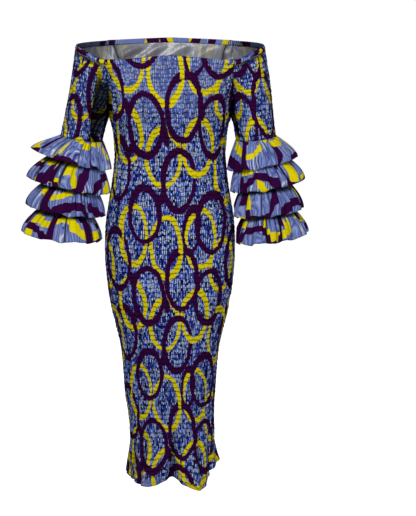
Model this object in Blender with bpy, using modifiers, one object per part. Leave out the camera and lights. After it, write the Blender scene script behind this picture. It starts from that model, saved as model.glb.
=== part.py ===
"""Off-the-shoulder shirred midi dress with four-tier ruffled sleeves, worn form, no wearer.

Frame: metres, +Z up, the front faces -Y, +X is the viewer's right. The origin is the middle of
the elastic neckline, which is where the wearer holds the dress up.

The trunk is a front and a back panel that meet at side seams. Each sleeve is a tube whose inner
top edge follows the armhole seam and whose outer top edge is part of the neckline. Four gathered
ruffles hang from each sleeve, and a folded casing lines the neckline all the way round.
"""
import math
from collections import namedtuple

import bmesh
import bpy
from mathutils import Vector

# ---------------------------------------------------------------- driving dimensions (metres)
BODY_WALL = 0.0020            # shirred cloth with its puckers
RUFFLE_WALL = 0.0016          # turned and gathered cloth
CASING_WALL = 0.0016          # folded band
CASING_HEIGHT = 0.0120
CORNER_EASE = 0.0028          # the casing bridges the sleeve seams this far inside them
CORNER_REACH = 0.0340
SEAM_GAP = 0.0003             # between pieces that are sewn together
SEAM_DIP = 0.0015             # seams in shirred cloth sink a little
SEAM_REACH = 0.0040           # how far past the underarm the armhole trim is still wanted
TOUCH_CLEARANCE = 0.0045      # between a ruffle and the hip beside it

NECK_HALF_WIDTH = 0.2300
NECK_HALF_DEPTH = 0.1120
NECK_CORNER = 43.0            # degrees from centre front to the sleeve seam, along the neckline
ARMHOLE_CORNER = 56.0         # degrees round the trunk where the armhole seam starts
SLEEVE_CORNER = 108.0         # degrees round the sleeve from its outer side to the armhole seam
UNDERARM_X = 0.1505           # the armhole seam lies in a plane that leans out going up
UNDERARM_Z = -0.1780
ARMHOLE_LEAN = 0.035
ARMHOLE_HOLLOW = 2.6          # 1 is a half ellipse, more draws the seam into the armpit
BODY_JOIN = -0.224            # below this level the trunk follows its own sections only
SLEEVE_JOIN = -0.206
FRILL_START = -0.985          # the shirring stops and the hem is free to flare
ROUNDNESS = 2.25              # superellipse power of the trunk's sections

ARMHOLE_COLUMNS = 4           # facets along each half of an armhole seam, on both pieces
BODY_NECK_COLUMNS = 10
BODY_TOP_ROWS = 5
BODY_LOW_ROWS = 15
SLEEVE_NECK_COLUMNS = 12
SLEEVE_TOP_ROWS = 4
SLEEVE_LOW_ROWS = 3
RUFFLE_COLUMNS = 36
RUFFLE_ROWS = 3

# ---------------------------------------------------------------- tables
# Height of the neckline at degrees from centre front; the same on both sides.
Neck = namedtuple("Neck", "at height")
NECKLINE = [
    Neck(0.0, -0.018),
    Neck(43.0, -0.031),
    Neck(60.0, -0.014),
    Neck(76.0, -0.004),
    Neck(90.0, 0.000),
    Neck(137.0, 0.006),
    Neck(180.0, 0.012),
]

# Trunk sections: half width, depth before and behind the side seams, and sway of the middle.
Section = namedtuple("Section", "at half_width front back x", defaults=(0.0,))
TRUNK = [
    Section(0.020, 0.1580, 0.105, 0.100),
    Section(-0.080, 0.1520, 0.121, 0.101),
    Section(-0.150, 0.1465, 0.130, 0.098),     # bust
    Section(-0.195, 0.1420, 0.123, 0.094),
    Section(-0.232, 0.1385, 0.113, 0.090),
    Section(-0.271, 0.1360, 0.105, 0.088),     # waist
    Section(-0.325, 0.1410, 0.105, 0.094),
    Section(-0.377, 0.1490, 0.108, 0.105),
    Section(-0.438, 0.1585, 0.109, 0.119),
    Section(-0.520, 0.1610, 0.107, 0.128),     # hip
    Section(-0.590, 0.1555, 0.105, 0.122),
    Section(-0.650, 0.1465, 0.102, 0.111),
    Section(-0.711, 0.1320, 0.098, 0.101),
    Section(-0.757, 0.1220, 0.094, 0.095),
    Section(-0.817, 0.1165, 0.091, 0.092),
    Section(-0.878, 0.1125, 0.088, 0.089),
    Section(-0.924, 0.1077, 0.085, 0.086, 0.0030),
    Section(-0.985, 0.1062, 0.082, 0.083, 0.0055),     # the shirring stops here, at the knee
    Section(-1.045, 0.1065, 0.083, 0.084, 0.0045),
    Section(-1.140, 0.1080, 0.084, 0.085, 0.0040),
]

# Hem frill at degrees from centre front, positive to +X: outward flare and hem height.
Hem = namedtuple("Hem", "at flare height")
HEM = [
    Hem(-180.0, -0.003, -1.074),
    Hem(-150.0, 0.015, -1.094),
    Hem(-120.0, 0.003, -1.080),
    Hem(-90.0, 0.008, -1.083),
    Hem(-60.0, 0.004, -1.091),
    Hem(-28.0, 0.015, -1.098),
    Hem(-12.0, 0.004, -1.089),
    Hem(0.0, -0.008, -1.077),                  # the centre crease lifts the hem
    Hem(14.0, 0.004, -1.094),
    Hem(34.0, 0.016, -1.108),
    Hem(62.0, 0.002, -1.074),
    Hem(90.0, 0.016, -1.049),
    Hem(120.0, 0.003, -1.076),
    Hem(150.0, 0.014, -1.096),
    Hem(180.0, -0.003, -1.074),
]

# Sleeve sections down the arm: centre, half sizes and the tilt that lifts the outer side.
Tube = namedtuple("Tube", "at x y half_width half_depth tilt")
SLEEVES = {
    "left": [
        Tube(0.020, 0.1730, 0.000, 0.0525, 0.078, 0.0),
        Tube(-0.100, 0.1920, 0.000, 0.0515, 0.074, 0.0),
        Tube(-0.178, 0.2075, 0.000, 0.0515, 0.069, 2.0),
        Tube(-0.229, 0.2180, -0.004, 0.0505, 0.064, 9.0),
        Tube(-0.300, 0.2335, -0.012, 0.0490, 0.058, 11.0),
        Tube(-0.360, 0.2480, -0.018, 0.0480, 0.056, 10.0),
        Tube(-0.420, 0.2590, -0.022, 0.0480, 0.056, 8.0),
    ],
    "right": [
        Tube(0.020, 0.1780, 0.000, 0.0525, 0.078, 0.0),
        Tube(-0.100, 0.1965, 0.000, 0.0505, 0.074, 0.0),
        Tube(-0.178, 0.2055, 0.000, 0.0485, 0.068, 2.0),
        Tube(-0.229, 0.2120, -0.004, 0.0485, 0.063, 7.0),
        Tube(-0.300, 0.2265, -0.012, 0.0480, 0.058, 9.0),
        Tube(-0.360, 0.2370, -0.018, 0.0470, 0.056, 8.0),
        Tube(-0.420, 0.2460, -0.022, 0.0470, 0.056, 7.0),
    ],
}
SLEEVE_END = -0.402

# Ruffle tiers: level of the seam, then centre, half sizes and tilt of the hem ring, and waves.
Tier = namedtuple("Tier", "seam x y z half_width half_depth tilt waves turn")
TIERS = {
    "left": [
        Tier(-0.229, 0.2415, -0.010, -0.2810, 0.0945, 0.088, 15.0, 9, 0.4),
        Tier(-0.268, 0.2495, -0.014, -0.3450, 0.1000, 0.090, 11.5, 9, 1.1),
        Tier(-0.330, 0.2580, -0.018, -0.4060, 0.0970, 0.090, 8.5, 9, 1.9),
        Tier(-0.393, 0.2680, -0.022, -0.4710, 0.0975, 0.092, 6.5, 9, 2.6),
    ],
    "right": [
        Tier(-0.229, 0.2270, -0.010, -0.2920, 0.0838, 0.086, 11.0, 9, 1.2),
        Tier(-0.268, 0.2405, -0.014, -0.3450, 0.0908, 0.088, 9.5, 9, 1.9),
        Tier(-0.330, 0.2420, -0.018, -0.4110, 0.0860, 0.088, 6.5, 9, 2.5),
        Tier(-0.393, 0.2500, -0.022, -0.4750, 0.0885, 0.090, 7.5, 9, 3.3),
    ],
}
WAVE_DEPTH = 0.0080           # how far the ruffle's hem swings in and out
WAVE_LIFT = 0.0050            # how far it swings up and down

SIDES = {"left": -1.0, "right": 1.0}
PURPLE = (0.040, 0.003, 0.060, 1.0)
BLUE = (0.120, 0.165, 0.420, 1.0)
GROUND = (0.150, 0.190, 0.450, 1.0)
WRONG_SIDE = (0.330, 0.330, 0.370, 1.0)


# ---------------------------------------------------------------- curves and sections
def read_table(table, at):
    """The table's row at a place between its rows, on a smooth curve through them."""
    rows = sorted(table, key=lambda row: row.at)
    at = min(max(at, rows[0].at), rows[-1].at)
    i = max(k for k in range(len(rows) - 1) if rows[k].at <= at)
    before, start = rows[max(i - 1, 0)], rows[i]
    end, after = rows[i + 1], rows[min(i + 2, len(rows) - 1)]
    t = (at - start.at) / (end.at - start.at)
    span = end.at - start.at
    values = []
    for p, a, b, n in zip(before, start, end, after):
        slope_a = (b - p) / (end.at - before.at) * span
        slope_b = (n - a) / (after.at - start.at) * span
        values.append((2 * t ** 3 - 3 * t ** 2 + 1) * a + (t ** 3 - 2 * t ** 2 + t) * slope_a
                      + (3 * t ** 2 - 2 * t ** 3) * b + (t ** 3 - t ** 2) * slope_b)
    return type(start)(*values)


def neck_point(degrees):
    """A point on the neckline, from centre front (0) past the right side (90) to the back."""
    turn = math.radians(degrees)
    height = read_table(NECKLINE, abs(degrees)).height
    return Vector((NECK_HALF_WIDTH * math.sin(turn), -NECK_HALF_DEPTH * math.cos(turn), height))


def armhole_x(z):
    """How far out the plane of the armhole seam is at level z."""
    return UNDERARM_X + ARMHOLE_LEAN * (z - UNDERARM_Z)


def armhole_point(side, front, s):
    """The armhole seam from its neckline corner (s = 0) to the underarm (s = 1)."""
    corner = neck_point(NECK_CORNER if front else 180.0 - NECK_CORNER)
    turn = s * math.pi / 2
    y = (corner.y - math.copysign(SEAM_DIP, corner.y)) * math.cos(turn) ** ARMHOLE_HOLLOW
    z = corner.z + (UNDERARM_Z - corner.z) * math.sin(turn)
    return Vector((side * armhole_x(z), y, z))


def rounded(value, power):
    """A sine or cosine raised to a power, with its sign kept."""
    return math.copysign(abs(value) ** power, value)


def trunk_point(degrees, z):
    """A point of the trunk's own section at level z."""
    row = read_table(TRUNK, z)
    turn = math.radians(degrees)
    depth = row.front if abs(degrees) <= 90.0 else row.back
    power = 2.0 / ROUNDNESS
    return Vector((row.x + row.half_width * rounded(math.sin(turn), power),
                   -depth * rounded(math.cos(turn), power), z))


def trunk_top(degrees, front):
    """Where a trunk column ends: on the neckline, or on the armhole seam."""
    side = math.copysign(1.0, degrees)
    round_front = abs(degrees) if front else 180.0 - abs(degrees)
    if round_front < ARMHOLE_CORNER - 0.01:
        on_neck = NECK_CORNER * round_front / ARMHOLE_CORNER
        return neck_point(side * (on_neck if front else 180.0 - on_neck))
    s = (round_front - ARMHOLE_CORNER) / (90.0 - ARMHOLE_CORNER)
    return armhole_point(side, front, s)


def trunk_cloth(degrees, front, row, rows_above, rows_below):
    """A point of a trunk panel, counted in rows down from its top edge."""
    top = trunk_top(degrees, front)
    hem = read_table(HEM, degrees)
    if row == 0:
        return top
    if row <= rows_above:
        share = (row - 1) / (rows_above - 1)
        start = top.z - CASING_HEIGHT
        z = start + (BODY_JOIN - start) * share
    else:
        share = (row - rows_above) / rows_below
        z = BODY_JOIN + (hem.height - BODY_JOIN) * share
    point = trunk_point(degrees, z)
    if z > BODY_JOIN:
        fade = (1.0 - (top.z - z) / (top.z - BODY_JOIN)) ** 2
        point += (top - trunk_point(degrees, top.z)) * fade
    if z < FRILL_START:
        out = Vector((point.x, point.y, 0.0)).normalized()
        reach = (FRILL_START - z) / (FRILL_START - hem.height)
        point += out * hem.flare * reach ** 1.4
    return point


def sleeve_section(side_name, degrees, z):
    """A point of the sleeve's own section; 0 degrees is the outer side, 90 the front."""
    row = read_table(SLEEVES[side_name], z)
    turn = math.radians(degrees)
    across = row.half_width * math.cos(turn)
    lift = across * math.tan(math.radians(row.tilt))
    return Vector((SIDES[side_name] * (row.x + across), row.y - row.half_depth * math.sin(turn),
                   z + lift))


def sleeve_top(side_name, degrees):
    """Where a sleeve column ends: outer columns on the neckline, inner ones on the armhole."""
    side = SIDES[side_name]
    wrapped = (degrees + 180.0) % 360.0 - 180.0
    front = wrapped >= 0.0
    if abs(wrapped) < SLEEVE_CORNER - 0.01:
        on_neck = 90.0 - wrapped / SLEEVE_CORNER * (90.0 - NECK_CORNER)
        return neck_point(side * on_neck)
    s = (abs(wrapped) - SLEEVE_CORNER) / (180.0 - SLEEVE_CORNER)
    return armhole_point(side, front, s)


def sleeve_cloth(side_name, degrees, row):
    """A point of a sleeve, counted in rows down from its top edge."""
    top = sleeve_top(side_name, degrees)
    if row == 0:
        return top
    if row <= SLEEVE_TOP_ROWS:
        share = (row - 1) / (SLEEVE_TOP_ROWS - 1)
        start = top.z - CASING_HEIGHT
        z = start + (SLEEVE_JOIN - start) * share
    else:
        z = SLEEVE_JOIN + (SLEEVE_END - SLEEVE_JOIN) * (row - SLEEVE_TOP_ROWS) / SLEEVE_LOW_ROWS
    point = sleeve_section(side_name, degrees, z)
    if z > SLEEVE_JOIN:
        fade = (1.0 - (top.z - z) / (top.z - SLEEVE_JOIN)) ** 2
        point += (top - sleeve_section(side_name, degrees, top.z)) * fade
    return point


def clear_of_trunk(point, side):
    """Pushes a point of a ruffle out of the trunk beside it."""
    row = read_table(TRUNK, point.z)
    depth = row.front if point.y < 0 else row.back
    inside = 1.0 - min(abs(point.y) / depth, 1.0) ** ROUNDNESS
    nearest = row.half_width * inside ** (1.0 / ROUNDNESS) + TOUCH_CLEARANCE + RUFFLE_WALL
    return Vector((side * max(side * point.x, nearest), point.y, point.z))


def ruffle_cloth(side_name, tier, degrees, s):
    """A point of a ruffle from its seam (s = 0) to its hem (s = 1)."""
    side = SIDES[side_name]
    seam = sleeve_section(side_name, degrees, tier.seam)
    turn = math.radians(degrees)
    out = Vector((side * math.cos(turn), -math.sin(turn), 0.0))
    seam += out * (RUFFLE_WALL + SEAM_GAP * 3)
    across = tier.half_width * math.cos(turn)
    lift = across * math.tan(math.radians(tier.tilt))
    hem = Vector((side * (tier.x + across), tier.y - tier.half_depth * math.sin(turn),
                  tier.z + lift))
    spread = math.sin(s * math.pi / 2) ** 0.96
    point = Vector((seam.x + (hem.x - seam.x) * spread, seam.y + (hem.y - seam.y) * spread,
                    seam.z + (hem.z - seam.z) * s))
    wave = math.sin(tier.waves * turn + tier.turn) + 0.3 * math.sin(4 * turn + 2 * tier.turn)
    point += (out * wave * WAVE_DEPTH + Vector((0, 0, wave * WAVE_LIFT))) * s ** 1.5
    return clear_of_trunk(point, side)


# ---------------------------------------------------------------- building
def material(name, colour, roughness):
    """A plain cloth material."""
    made = bpy.data.materials.new(name)
    made.use_nodes = True
    shader = made.node_tree.nodes["Principled BSDF"]
    shader.inputs["Base Color"].default_value = colour
    shader.inputs["Roughness"].default_value = roughness
    shader.inputs["Metallic"].default_value = 0.0
    return made


def trim_front(point):
    """Keeps a point of the front panel on its own side of the side and armhole seams."""
    return trim_trunk(Vector((point.x, min(point.y, -SEAM_GAP / 2), point.z)))


def trim_back(point):
    """Keeps a point of the back panel on its own side of the side and armhole seams."""
    return trim_trunk(Vector((point.x, max(point.y, SEAM_GAP / 2), point.z)))


def trim_trunk(point):
    """Keeps a point of the trunk inside the planes of the armhole seams."""
    if point.z < UNDERARM_Z - SEAM_REACH:
        return point
    limit = armhole_x(point.z) - SEAM_GAP / 2
    return Vector((min(max(point.x, -limit), limit), point.y, point.z))


def trim_sleeve(point):
    """Keeps a point of a sleeve outside the plane of its armhole seam."""
    if point.z < UNDERARM_Z - SEAM_REACH:
        return point
    limit = armhole_x(point.z) + SEAM_GAP / 2
    return Vector((math.copysign(max(abs(point.x), limit), point.x), point.y, point.z))


def cloth_sheet(name, grid, closed, wall, finish, collection, outward, trim=None):
    """A wall of cloth from rows of points: an open surface, thickened inward, then trimmed."""
    sheet = bmesh.new()
    rows = [[sheet.verts.new(point) for point in row] for row in grid]
    across = len(rows[0]) if closed else len(rows[0]) - 1
    for upper, lower in zip(rows, rows[1:]):
        for i in range(across):
            j = (i + 1) % len(upper)
            corners = (upper[i], upper[j], lower[j], lower[i])
            sheet.faces.new(corners if outward > 0 else corners[::-1])
    mesh = bpy.data.meshes.new(name)
    sheet.to_mesh(mesh)
    sheet.free()
    mesh.shade_smooth()
    mesh.materials.append(finish)
    piece = bpy.data.objects.new(name, mesh)
    collection.objects.link(piece)
    solidify = piece.modifiers.new("Wall", "SOLIDIFY")
    solidify.thickness = wall
    solidify.offset = -1.0
    solidify.use_even_offset = False
    if trim:
        evaluated = piece.evaluated_get(bpy.context.evaluated_depsgraph_get())
        piece.data = bpy.data.meshes.new_from_object(evaluated)
        piece.modifiers.clear()
        for vertex in piece.data.vertices:
            vertex.co = trim(vertex.co)
    return piece


def steps(start, end, count):
    """Evenly spaced values from start to just before end."""
    return [start + (end - start) * i / count for i in range(count)]


def trunk_grid(front):
    """Rows of points for the front or the back panel, from one side seam to the other."""
    columns = (steps(-90.0, -ARMHOLE_CORNER, ARMHOLE_COLUMNS)
               + steps(-ARMHOLE_CORNER, ARMHOLE_CORNER, BODY_NECK_COLUMNS)
               + steps(ARMHOLE_CORNER, 90.0, ARMHOLE_COLUMNS) + [90.0])
    rows = []
    for row in range(BODY_TOP_ROWS + BODY_LOW_ROWS + 1):
        points = []
        for across in columns:
            degrees = across if front else 180.0 - across
            degrees = degrees - 360.0 if degrees > 180.0 else degrees
            point = trunk_cloth(degrees, front, row, BODY_TOP_ROWS, BODY_LOW_ROWS)
            if abs(across) == 90.0 and row > 0:
                point.x -= math.copysign(SEAM_DIP, point.x)
            points.append(point)
        rows.append(points)
    return rows


def sleeve_grid(side_name):
    """Rings of points down a sleeve."""
    columns = (steps(-SLEEVE_CORNER, SLEEVE_CORNER, SLEEVE_NECK_COLUMNS)
               + steps(SLEEVE_CORNER, 360.0 - SLEEVE_CORNER, 2 * ARMHOLE_COLUMNS))
    return [[sleeve_cloth(side_name, degrees, row) for degrees in columns]
            for row in range(SLEEVE_TOP_ROWS + SLEEVE_LOW_ROWS + 1)]


def casing_grid():
    """Two rings of points just inside the top edge of all four panels."""
    neck = slice(ARMHOLE_COLUMNS, ARMHOLE_COLUMNS + BODY_NECK_COLUMNS + 1)
    front = [row[neck] for row in trunk_grid(True)[:2]]
    back = [row[neck] for row in trunk_grid(False)[:2]]
    arm = slice(0, SLEEVE_NECK_COLUMNS + 1)
    left = [row[arm] for row in sleeve_grid("left")[:2]]
    right = [row[arm] for row in sleeve_grid("right")[:2]]
    rings = []
    for i in range(2):
        runs = [front[i], right[i][::-1], back[i][::-1], left[i]]
        ring = []
        for run, following in zip(runs, runs[1:] + runs[:1]):
            ring += run[1:-1] + [(run[-1] + following[0]) / 2]
        rings.append(ring)
    return rings


def inward(grid, distance):
    """The rings moved in along the cloth's own normals, and eased past the sleeve seams."""
    moved = []
    for row, other in zip(grid, grid[::-1]):
        points = []
        for i, point in enumerate(row):
            along = row[(i + 1) % len(row)] - row[i - 1]
            normal = along.cross(other[i] - point).normalized()
            if normal.dot(Vector((point.x, point.y, 0.0))) > 0:
                normal.negate()
            from_seam = abs(abs(point.x) - armhole_x(point.z)) / CORNER_REACH
            ease = CORNER_EASE * max(0.0, 1.0 - from_seam)
            points.append(point + normal * (distance + ease))
        moved.append(points)
    return moved


def ruffle_grid(side_name, tier):
    """Rings of points down a ruffle."""
    step = 360.0 / RUFFLE_COLUMNS
    return [[ruffle_cloth(side_name, tier, column * step, row / RUFFLE_ROWS)
             for column in range(RUFFLE_COLUMNS)]
            for row in range(RUFFLE_ROWS + 1)]


def main():
    """Builds the dress in a collection of its own."""
    for old in list(bpy.data.objects):
        bpy.data.objects.remove(old, do_unlink=True)
    dress = bpy.data.collections.new("shirred_ruffle_dress")
    bpy.context.scene.collection.children.link(dress)
    shirred = material("Shirred print", GROUND, 0.75)
    printed = material("Ruffle print", BLUE, 0.72)
    band = material("Casing print", PURPLE, 0.72)
    cloth_sheet("front", trunk_grid(True), False, BODY_WALL, shirred, dress, -1, trim_front)
    cloth_sheet("back", trunk_grid(False), False, BODY_WALL, shirred, dress, 1, trim_back)
    casing = inward(casing_grid(), BODY_WALL + SEAM_GAP)
    cloth_sheet("neck_casing", casing, True, CASING_WALL, band, dress, -1)
    for side_name, side in SIDES.items():
        cloth_sheet("sleeve_" + side_name, sleeve_grid(side_name), True, BODY_WALL, shirred,
                    dress, side, trim_sleeve)
        for number, tier in enumerate(TIERS[side_name], 1):
            cloth_sheet("ruffle_%s_%d" % (side_name, number), ruffle_grid(side_name, tier),
                        True, RUFFLE_WALL, printed, dress, side)


main()
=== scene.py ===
"""Looks of an off-the-shoulder shirred wax print dress with tiered ruffle sleeves.

Everything is in metres in the row's own frame: +Z up, the front faces -Y, and the origin is the
middle of the elastic neckline. Each piece of cloth is a thin shell on its solid's own form: a
flat grid whose points are moved to the worn shape, puckered, folded and then thickened.
"""
from __future__ import annotations

import logging
import math
from dataclasses import dataclass, field
from enum import Enum
from typing import Callable, NamedTuple, Sequence

import bpy
import numpy as np
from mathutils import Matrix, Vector


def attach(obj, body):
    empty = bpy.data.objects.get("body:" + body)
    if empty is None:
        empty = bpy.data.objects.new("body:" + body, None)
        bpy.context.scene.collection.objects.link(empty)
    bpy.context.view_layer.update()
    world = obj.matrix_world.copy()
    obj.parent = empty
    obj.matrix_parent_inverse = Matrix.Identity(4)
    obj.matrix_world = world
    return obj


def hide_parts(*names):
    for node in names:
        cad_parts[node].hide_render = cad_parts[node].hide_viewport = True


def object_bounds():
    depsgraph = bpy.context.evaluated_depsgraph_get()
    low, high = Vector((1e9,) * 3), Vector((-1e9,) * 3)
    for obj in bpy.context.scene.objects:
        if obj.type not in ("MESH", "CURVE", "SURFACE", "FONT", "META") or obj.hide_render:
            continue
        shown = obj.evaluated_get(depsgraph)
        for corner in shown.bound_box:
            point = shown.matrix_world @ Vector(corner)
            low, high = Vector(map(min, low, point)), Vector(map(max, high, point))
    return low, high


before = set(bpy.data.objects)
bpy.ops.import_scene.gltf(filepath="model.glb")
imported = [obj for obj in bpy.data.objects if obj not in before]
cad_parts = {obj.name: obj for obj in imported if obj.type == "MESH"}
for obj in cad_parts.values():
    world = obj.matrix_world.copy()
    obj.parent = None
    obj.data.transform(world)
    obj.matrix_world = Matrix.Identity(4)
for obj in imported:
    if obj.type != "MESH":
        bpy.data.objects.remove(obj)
CAD_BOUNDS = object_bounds()
LOG = logging.getLogger("dress")

Array = np.ndarray


# ------------------------------------------------------------------ choices and tables
class Choice(Enum):
    """A choice whose name is used in piece names."""

    @property
    def word(self) -> str:
        """The choice as a word of a piece's name."""
        return self.name.lower()


class Side(Choice):
    """The two sides of the dress, as someone looking at its front sees them."""

    LEFT = -1.0
    RIGHT = 1.0


class Panel(Choice):
    """The two panels of the trunk; the value is the way that the panel faces along Y."""

    FRONT = -1.0
    BACK = 1.0


class Neck(NamedTuple):
    """Height of the neckline at degrees from centre front, the same on both sides."""

    at: float
    height: float


class Section(NamedTuple):
    """A level of the trunk: half width, depths before and behind the seams, and sway."""

    at: float
    half_width: float
    front: float
    back: float
    x: float = 0.0


class Hem(NamedTuple):
    """The hem frill at degrees across a panel: outward flare and height."""

    at: float
    flare: float
    height: float


class Tube(NamedTuple):
    """A level of a sleeve: centre, half sizes and the tilt that lifts the outer side."""

    at: float
    x: float
    y: float
    half_width: float
    half_depth: float
    tilt: float


class Tier(NamedTuple):
    """A ruffle: level of its seam, then centre, half sizes, tilt and waves' turn of its hem."""

    seam: float
    x: float
    y: float
    z: float
    half_width: float
    half_depth: float
    tilt: float
    turn: float


class Fold(NamedTuple):
    """A soft trough (or ridge, with a negative depth) from one place to another on a piece.

    Places are degrees across or round the piece, and height.
    """

    start: float
    top: float
    end: float
    bottom: float
    width: float
    depth: float


class Wave(NamedTuple):
    """Waves round a piece: how many, how far the piece's own start turns them, and height."""

    count: float
    share: float
    height: float


class Gather(NamedTuple):
    """How much the elastic draws the trunk's cloth in, at a height: flat over worn."""

    at: float
    across: float
    down: float


Colour = tuple[float, float, float, float]
HALF = (0.5, 0.5, 0.5)
PRINT_TOP = 0.385
HIP_LEVEL = -0.50
# Fold depths for no painted shade and for full painted shade in a trough, and the most painted
# shade on the wrong side.
SHALLOW_FOLD = 0.0035
DARKEST_FOLD = 0.0125
DARKEST_INSIDE_SHADE = 0.92

HEM_WAVES = (Wave(9, 1, 1.0), Wave(4, 2, 0.30), Wave(14, 3, 0.40), Wave(23, 5, 0.22))

NECKLINE = (
    Neck(0.0, -0.018),
    Neck(43.0, -0.031),
    Neck(60.0, -0.014),
    Neck(76.0, -0.004),
    Neck(90.0, 0.0),
    Neck(137.0, 0.006),
    Neck(180.0, 0.012),
)

TRUNK = (
    Section(0.02, 0.158, 0.105, 0.1),
    Section(-0.08, 0.152, 0.121, 0.101),
    Section(-0.15, 0.1465, 0.13, 0.098),
    Section(-0.195, 0.142, 0.123, 0.094),
    Section(-0.232, 0.1385, 0.113, 0.09),
    Section(-0.271, 0.136, 0.105, 0.088),
    Section(-0.325, 0.141, 0.105, 0.094),
    Section(-0.377, 0.149, 0.108, 0.105),
    Section(-0.438, 0.1585, 0.109, 0.119),
    Section(-0.52, 0.161, 0.107, 0.128),
    Section(-0.59, 0.1555, 0.105, 0.122),
    Section(-0.65, 0.1465, 0.102, 0.111),
    Section(-0.711, 0.132, 0.098, 0.101),
    Section(-0.757, 0.122, 0.094, 0.095),
    Section(-0.817, 0.1165, 0.091, 0.092),
    Section(-0.878, 0.1125, 0.088, 0.089),
    Section(-0.924, 0.1077, 0.085, 0.086, 0.003),
    Section(-0.985, 0.1062, 0.082, 0.083, 0.0055),
    Section(-1.045, 0.1065, 0.083, 0.084, 0.0045),
    Section(-1.14, 0.108, 0.084, 0.085, 0.004),
)

HEMS = {
    Panel.FRONT: (
        Hem(-90.0, 0.008, -1.083),
        Hem(-60.0, 0.004, -1.091),
        Hem(-28.0, 0.015, -1.098),
        Hem(-12.0, 0.004, -1.089),
        Hem(0.0, -0.008, -1.077),
        Hem(14.0, 0.004, -1.094),
        Hem(34.0, 0.016, -1.108),
        Hem(62.0, 0.002, -1.074),
        Hem(90.0, 0.016, -1.049),
    ),
    Panel.BACK: (
        Hem(-90.0, 0.008, -1.083),
        Hem(-60.0, 0.003, -1.08),
        Hem(-30.0, 0.015, -1.094),
        Hem(0.0, -0.003, -1.074),
        Hem(30.0, 0.014, -1.096),
        Hem(60.0, 0.003, -1.076),
        Hem(90.0, 0.016, -1.049),
    ),
}

SLEEVES = {
    Side.LEFT: (
        Tube(0.02, 0.173, 0.0, 0.0525, 0.078, 0.0),
        Tube(-0.1, 0.192, 0.0, 0.0515, 0.074, 0.0),
        Tube(-0.178, 0.2075, 0.0, 0.0515, 0.069, 2.0),
        Tube(-0.229, 0.218, -0.004, 0.0505, 0.064, 9.0),
        Tube(-0.3, 0.2335, -0.012, 0.049, 0.058, 11.0),
        Tube(-0.36, 0.248, -0.018, 0.048, 0.056, 10.0),
        Tube(-0.42, 0.259, -0.022, 0.048, 0.056, 8.0),
    ),
    Side.RIGHT: (
        Tube(0.02, 0.178, 0.0, 0.0525, 0.078, 0.0),
        Tube(-0.1, 0.1965, 0.0, 0.0505, 0.074, 0.0),
        Tube(-0.178, 0.2055, 0.0, 0.0485, 0.068, 2.0),
        Tube(-0.229, 0.212, -0.004, 0.0485, 0.063, 7.0),
        Tube(-0.3, 0.2265, -0.012, 0.048, 0.058, 9.0),
        Tube(-0.36, 0.237, -0.018, 0.047, 0.056, 8.0),
        Tube(-0.42, 0.246, -0.022, 0.047, 0.056, 7.0),
    ),
}

TIERS = {
    Side.LEFT: (
        Tier(-0.229, 0.2415, -0.01, -0.281, 0.0945, 0.088, 15.0, 0.4),
        Tier(-0.268, 0.2495, -0.014, -0.345, 0.1, 0.09, 11.5, 1.1),
        Tier(-0.33, 0.258, -0.018, -0.406, 0.097, 0.09, 8.5, 1.9),
        Tier(-0.393, 0.268, -0.022, -0.471, 0.0975, 0.092, 6.5, 2.6),
    ),
    Side.RIGHT: (
        Tier(-0.229, 0.227, -0.01, -0.292, 0.0838, 0.086, 11.0, 1.2),
        Tier(-0.268, 0.2405, -0.014, -0.345, 0.0908, 0.088, 9.5, 1.9),
        Tier(-0.33, 0.242, -0.018, -0.411, 0.086, 0.088, 6.5, 2.5),
        Tier(-0.393, 0.25, -0.022, -0.475, 0.0885, 0.09, 7.5, 3.3),
    ),
}

GATHERS = (
    Gather(-1.1, 2.12, 1.2),
    Gather(-0.8, 2.06, 1.16),
    Gather(-0.6, 1.88, 1.12),
    Gather(-0.45, 1.74, 1.07),
    Gather(-0.15, 1.64, 1.03),
    Gather(0.05, 1.54, 1.02),
)

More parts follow.
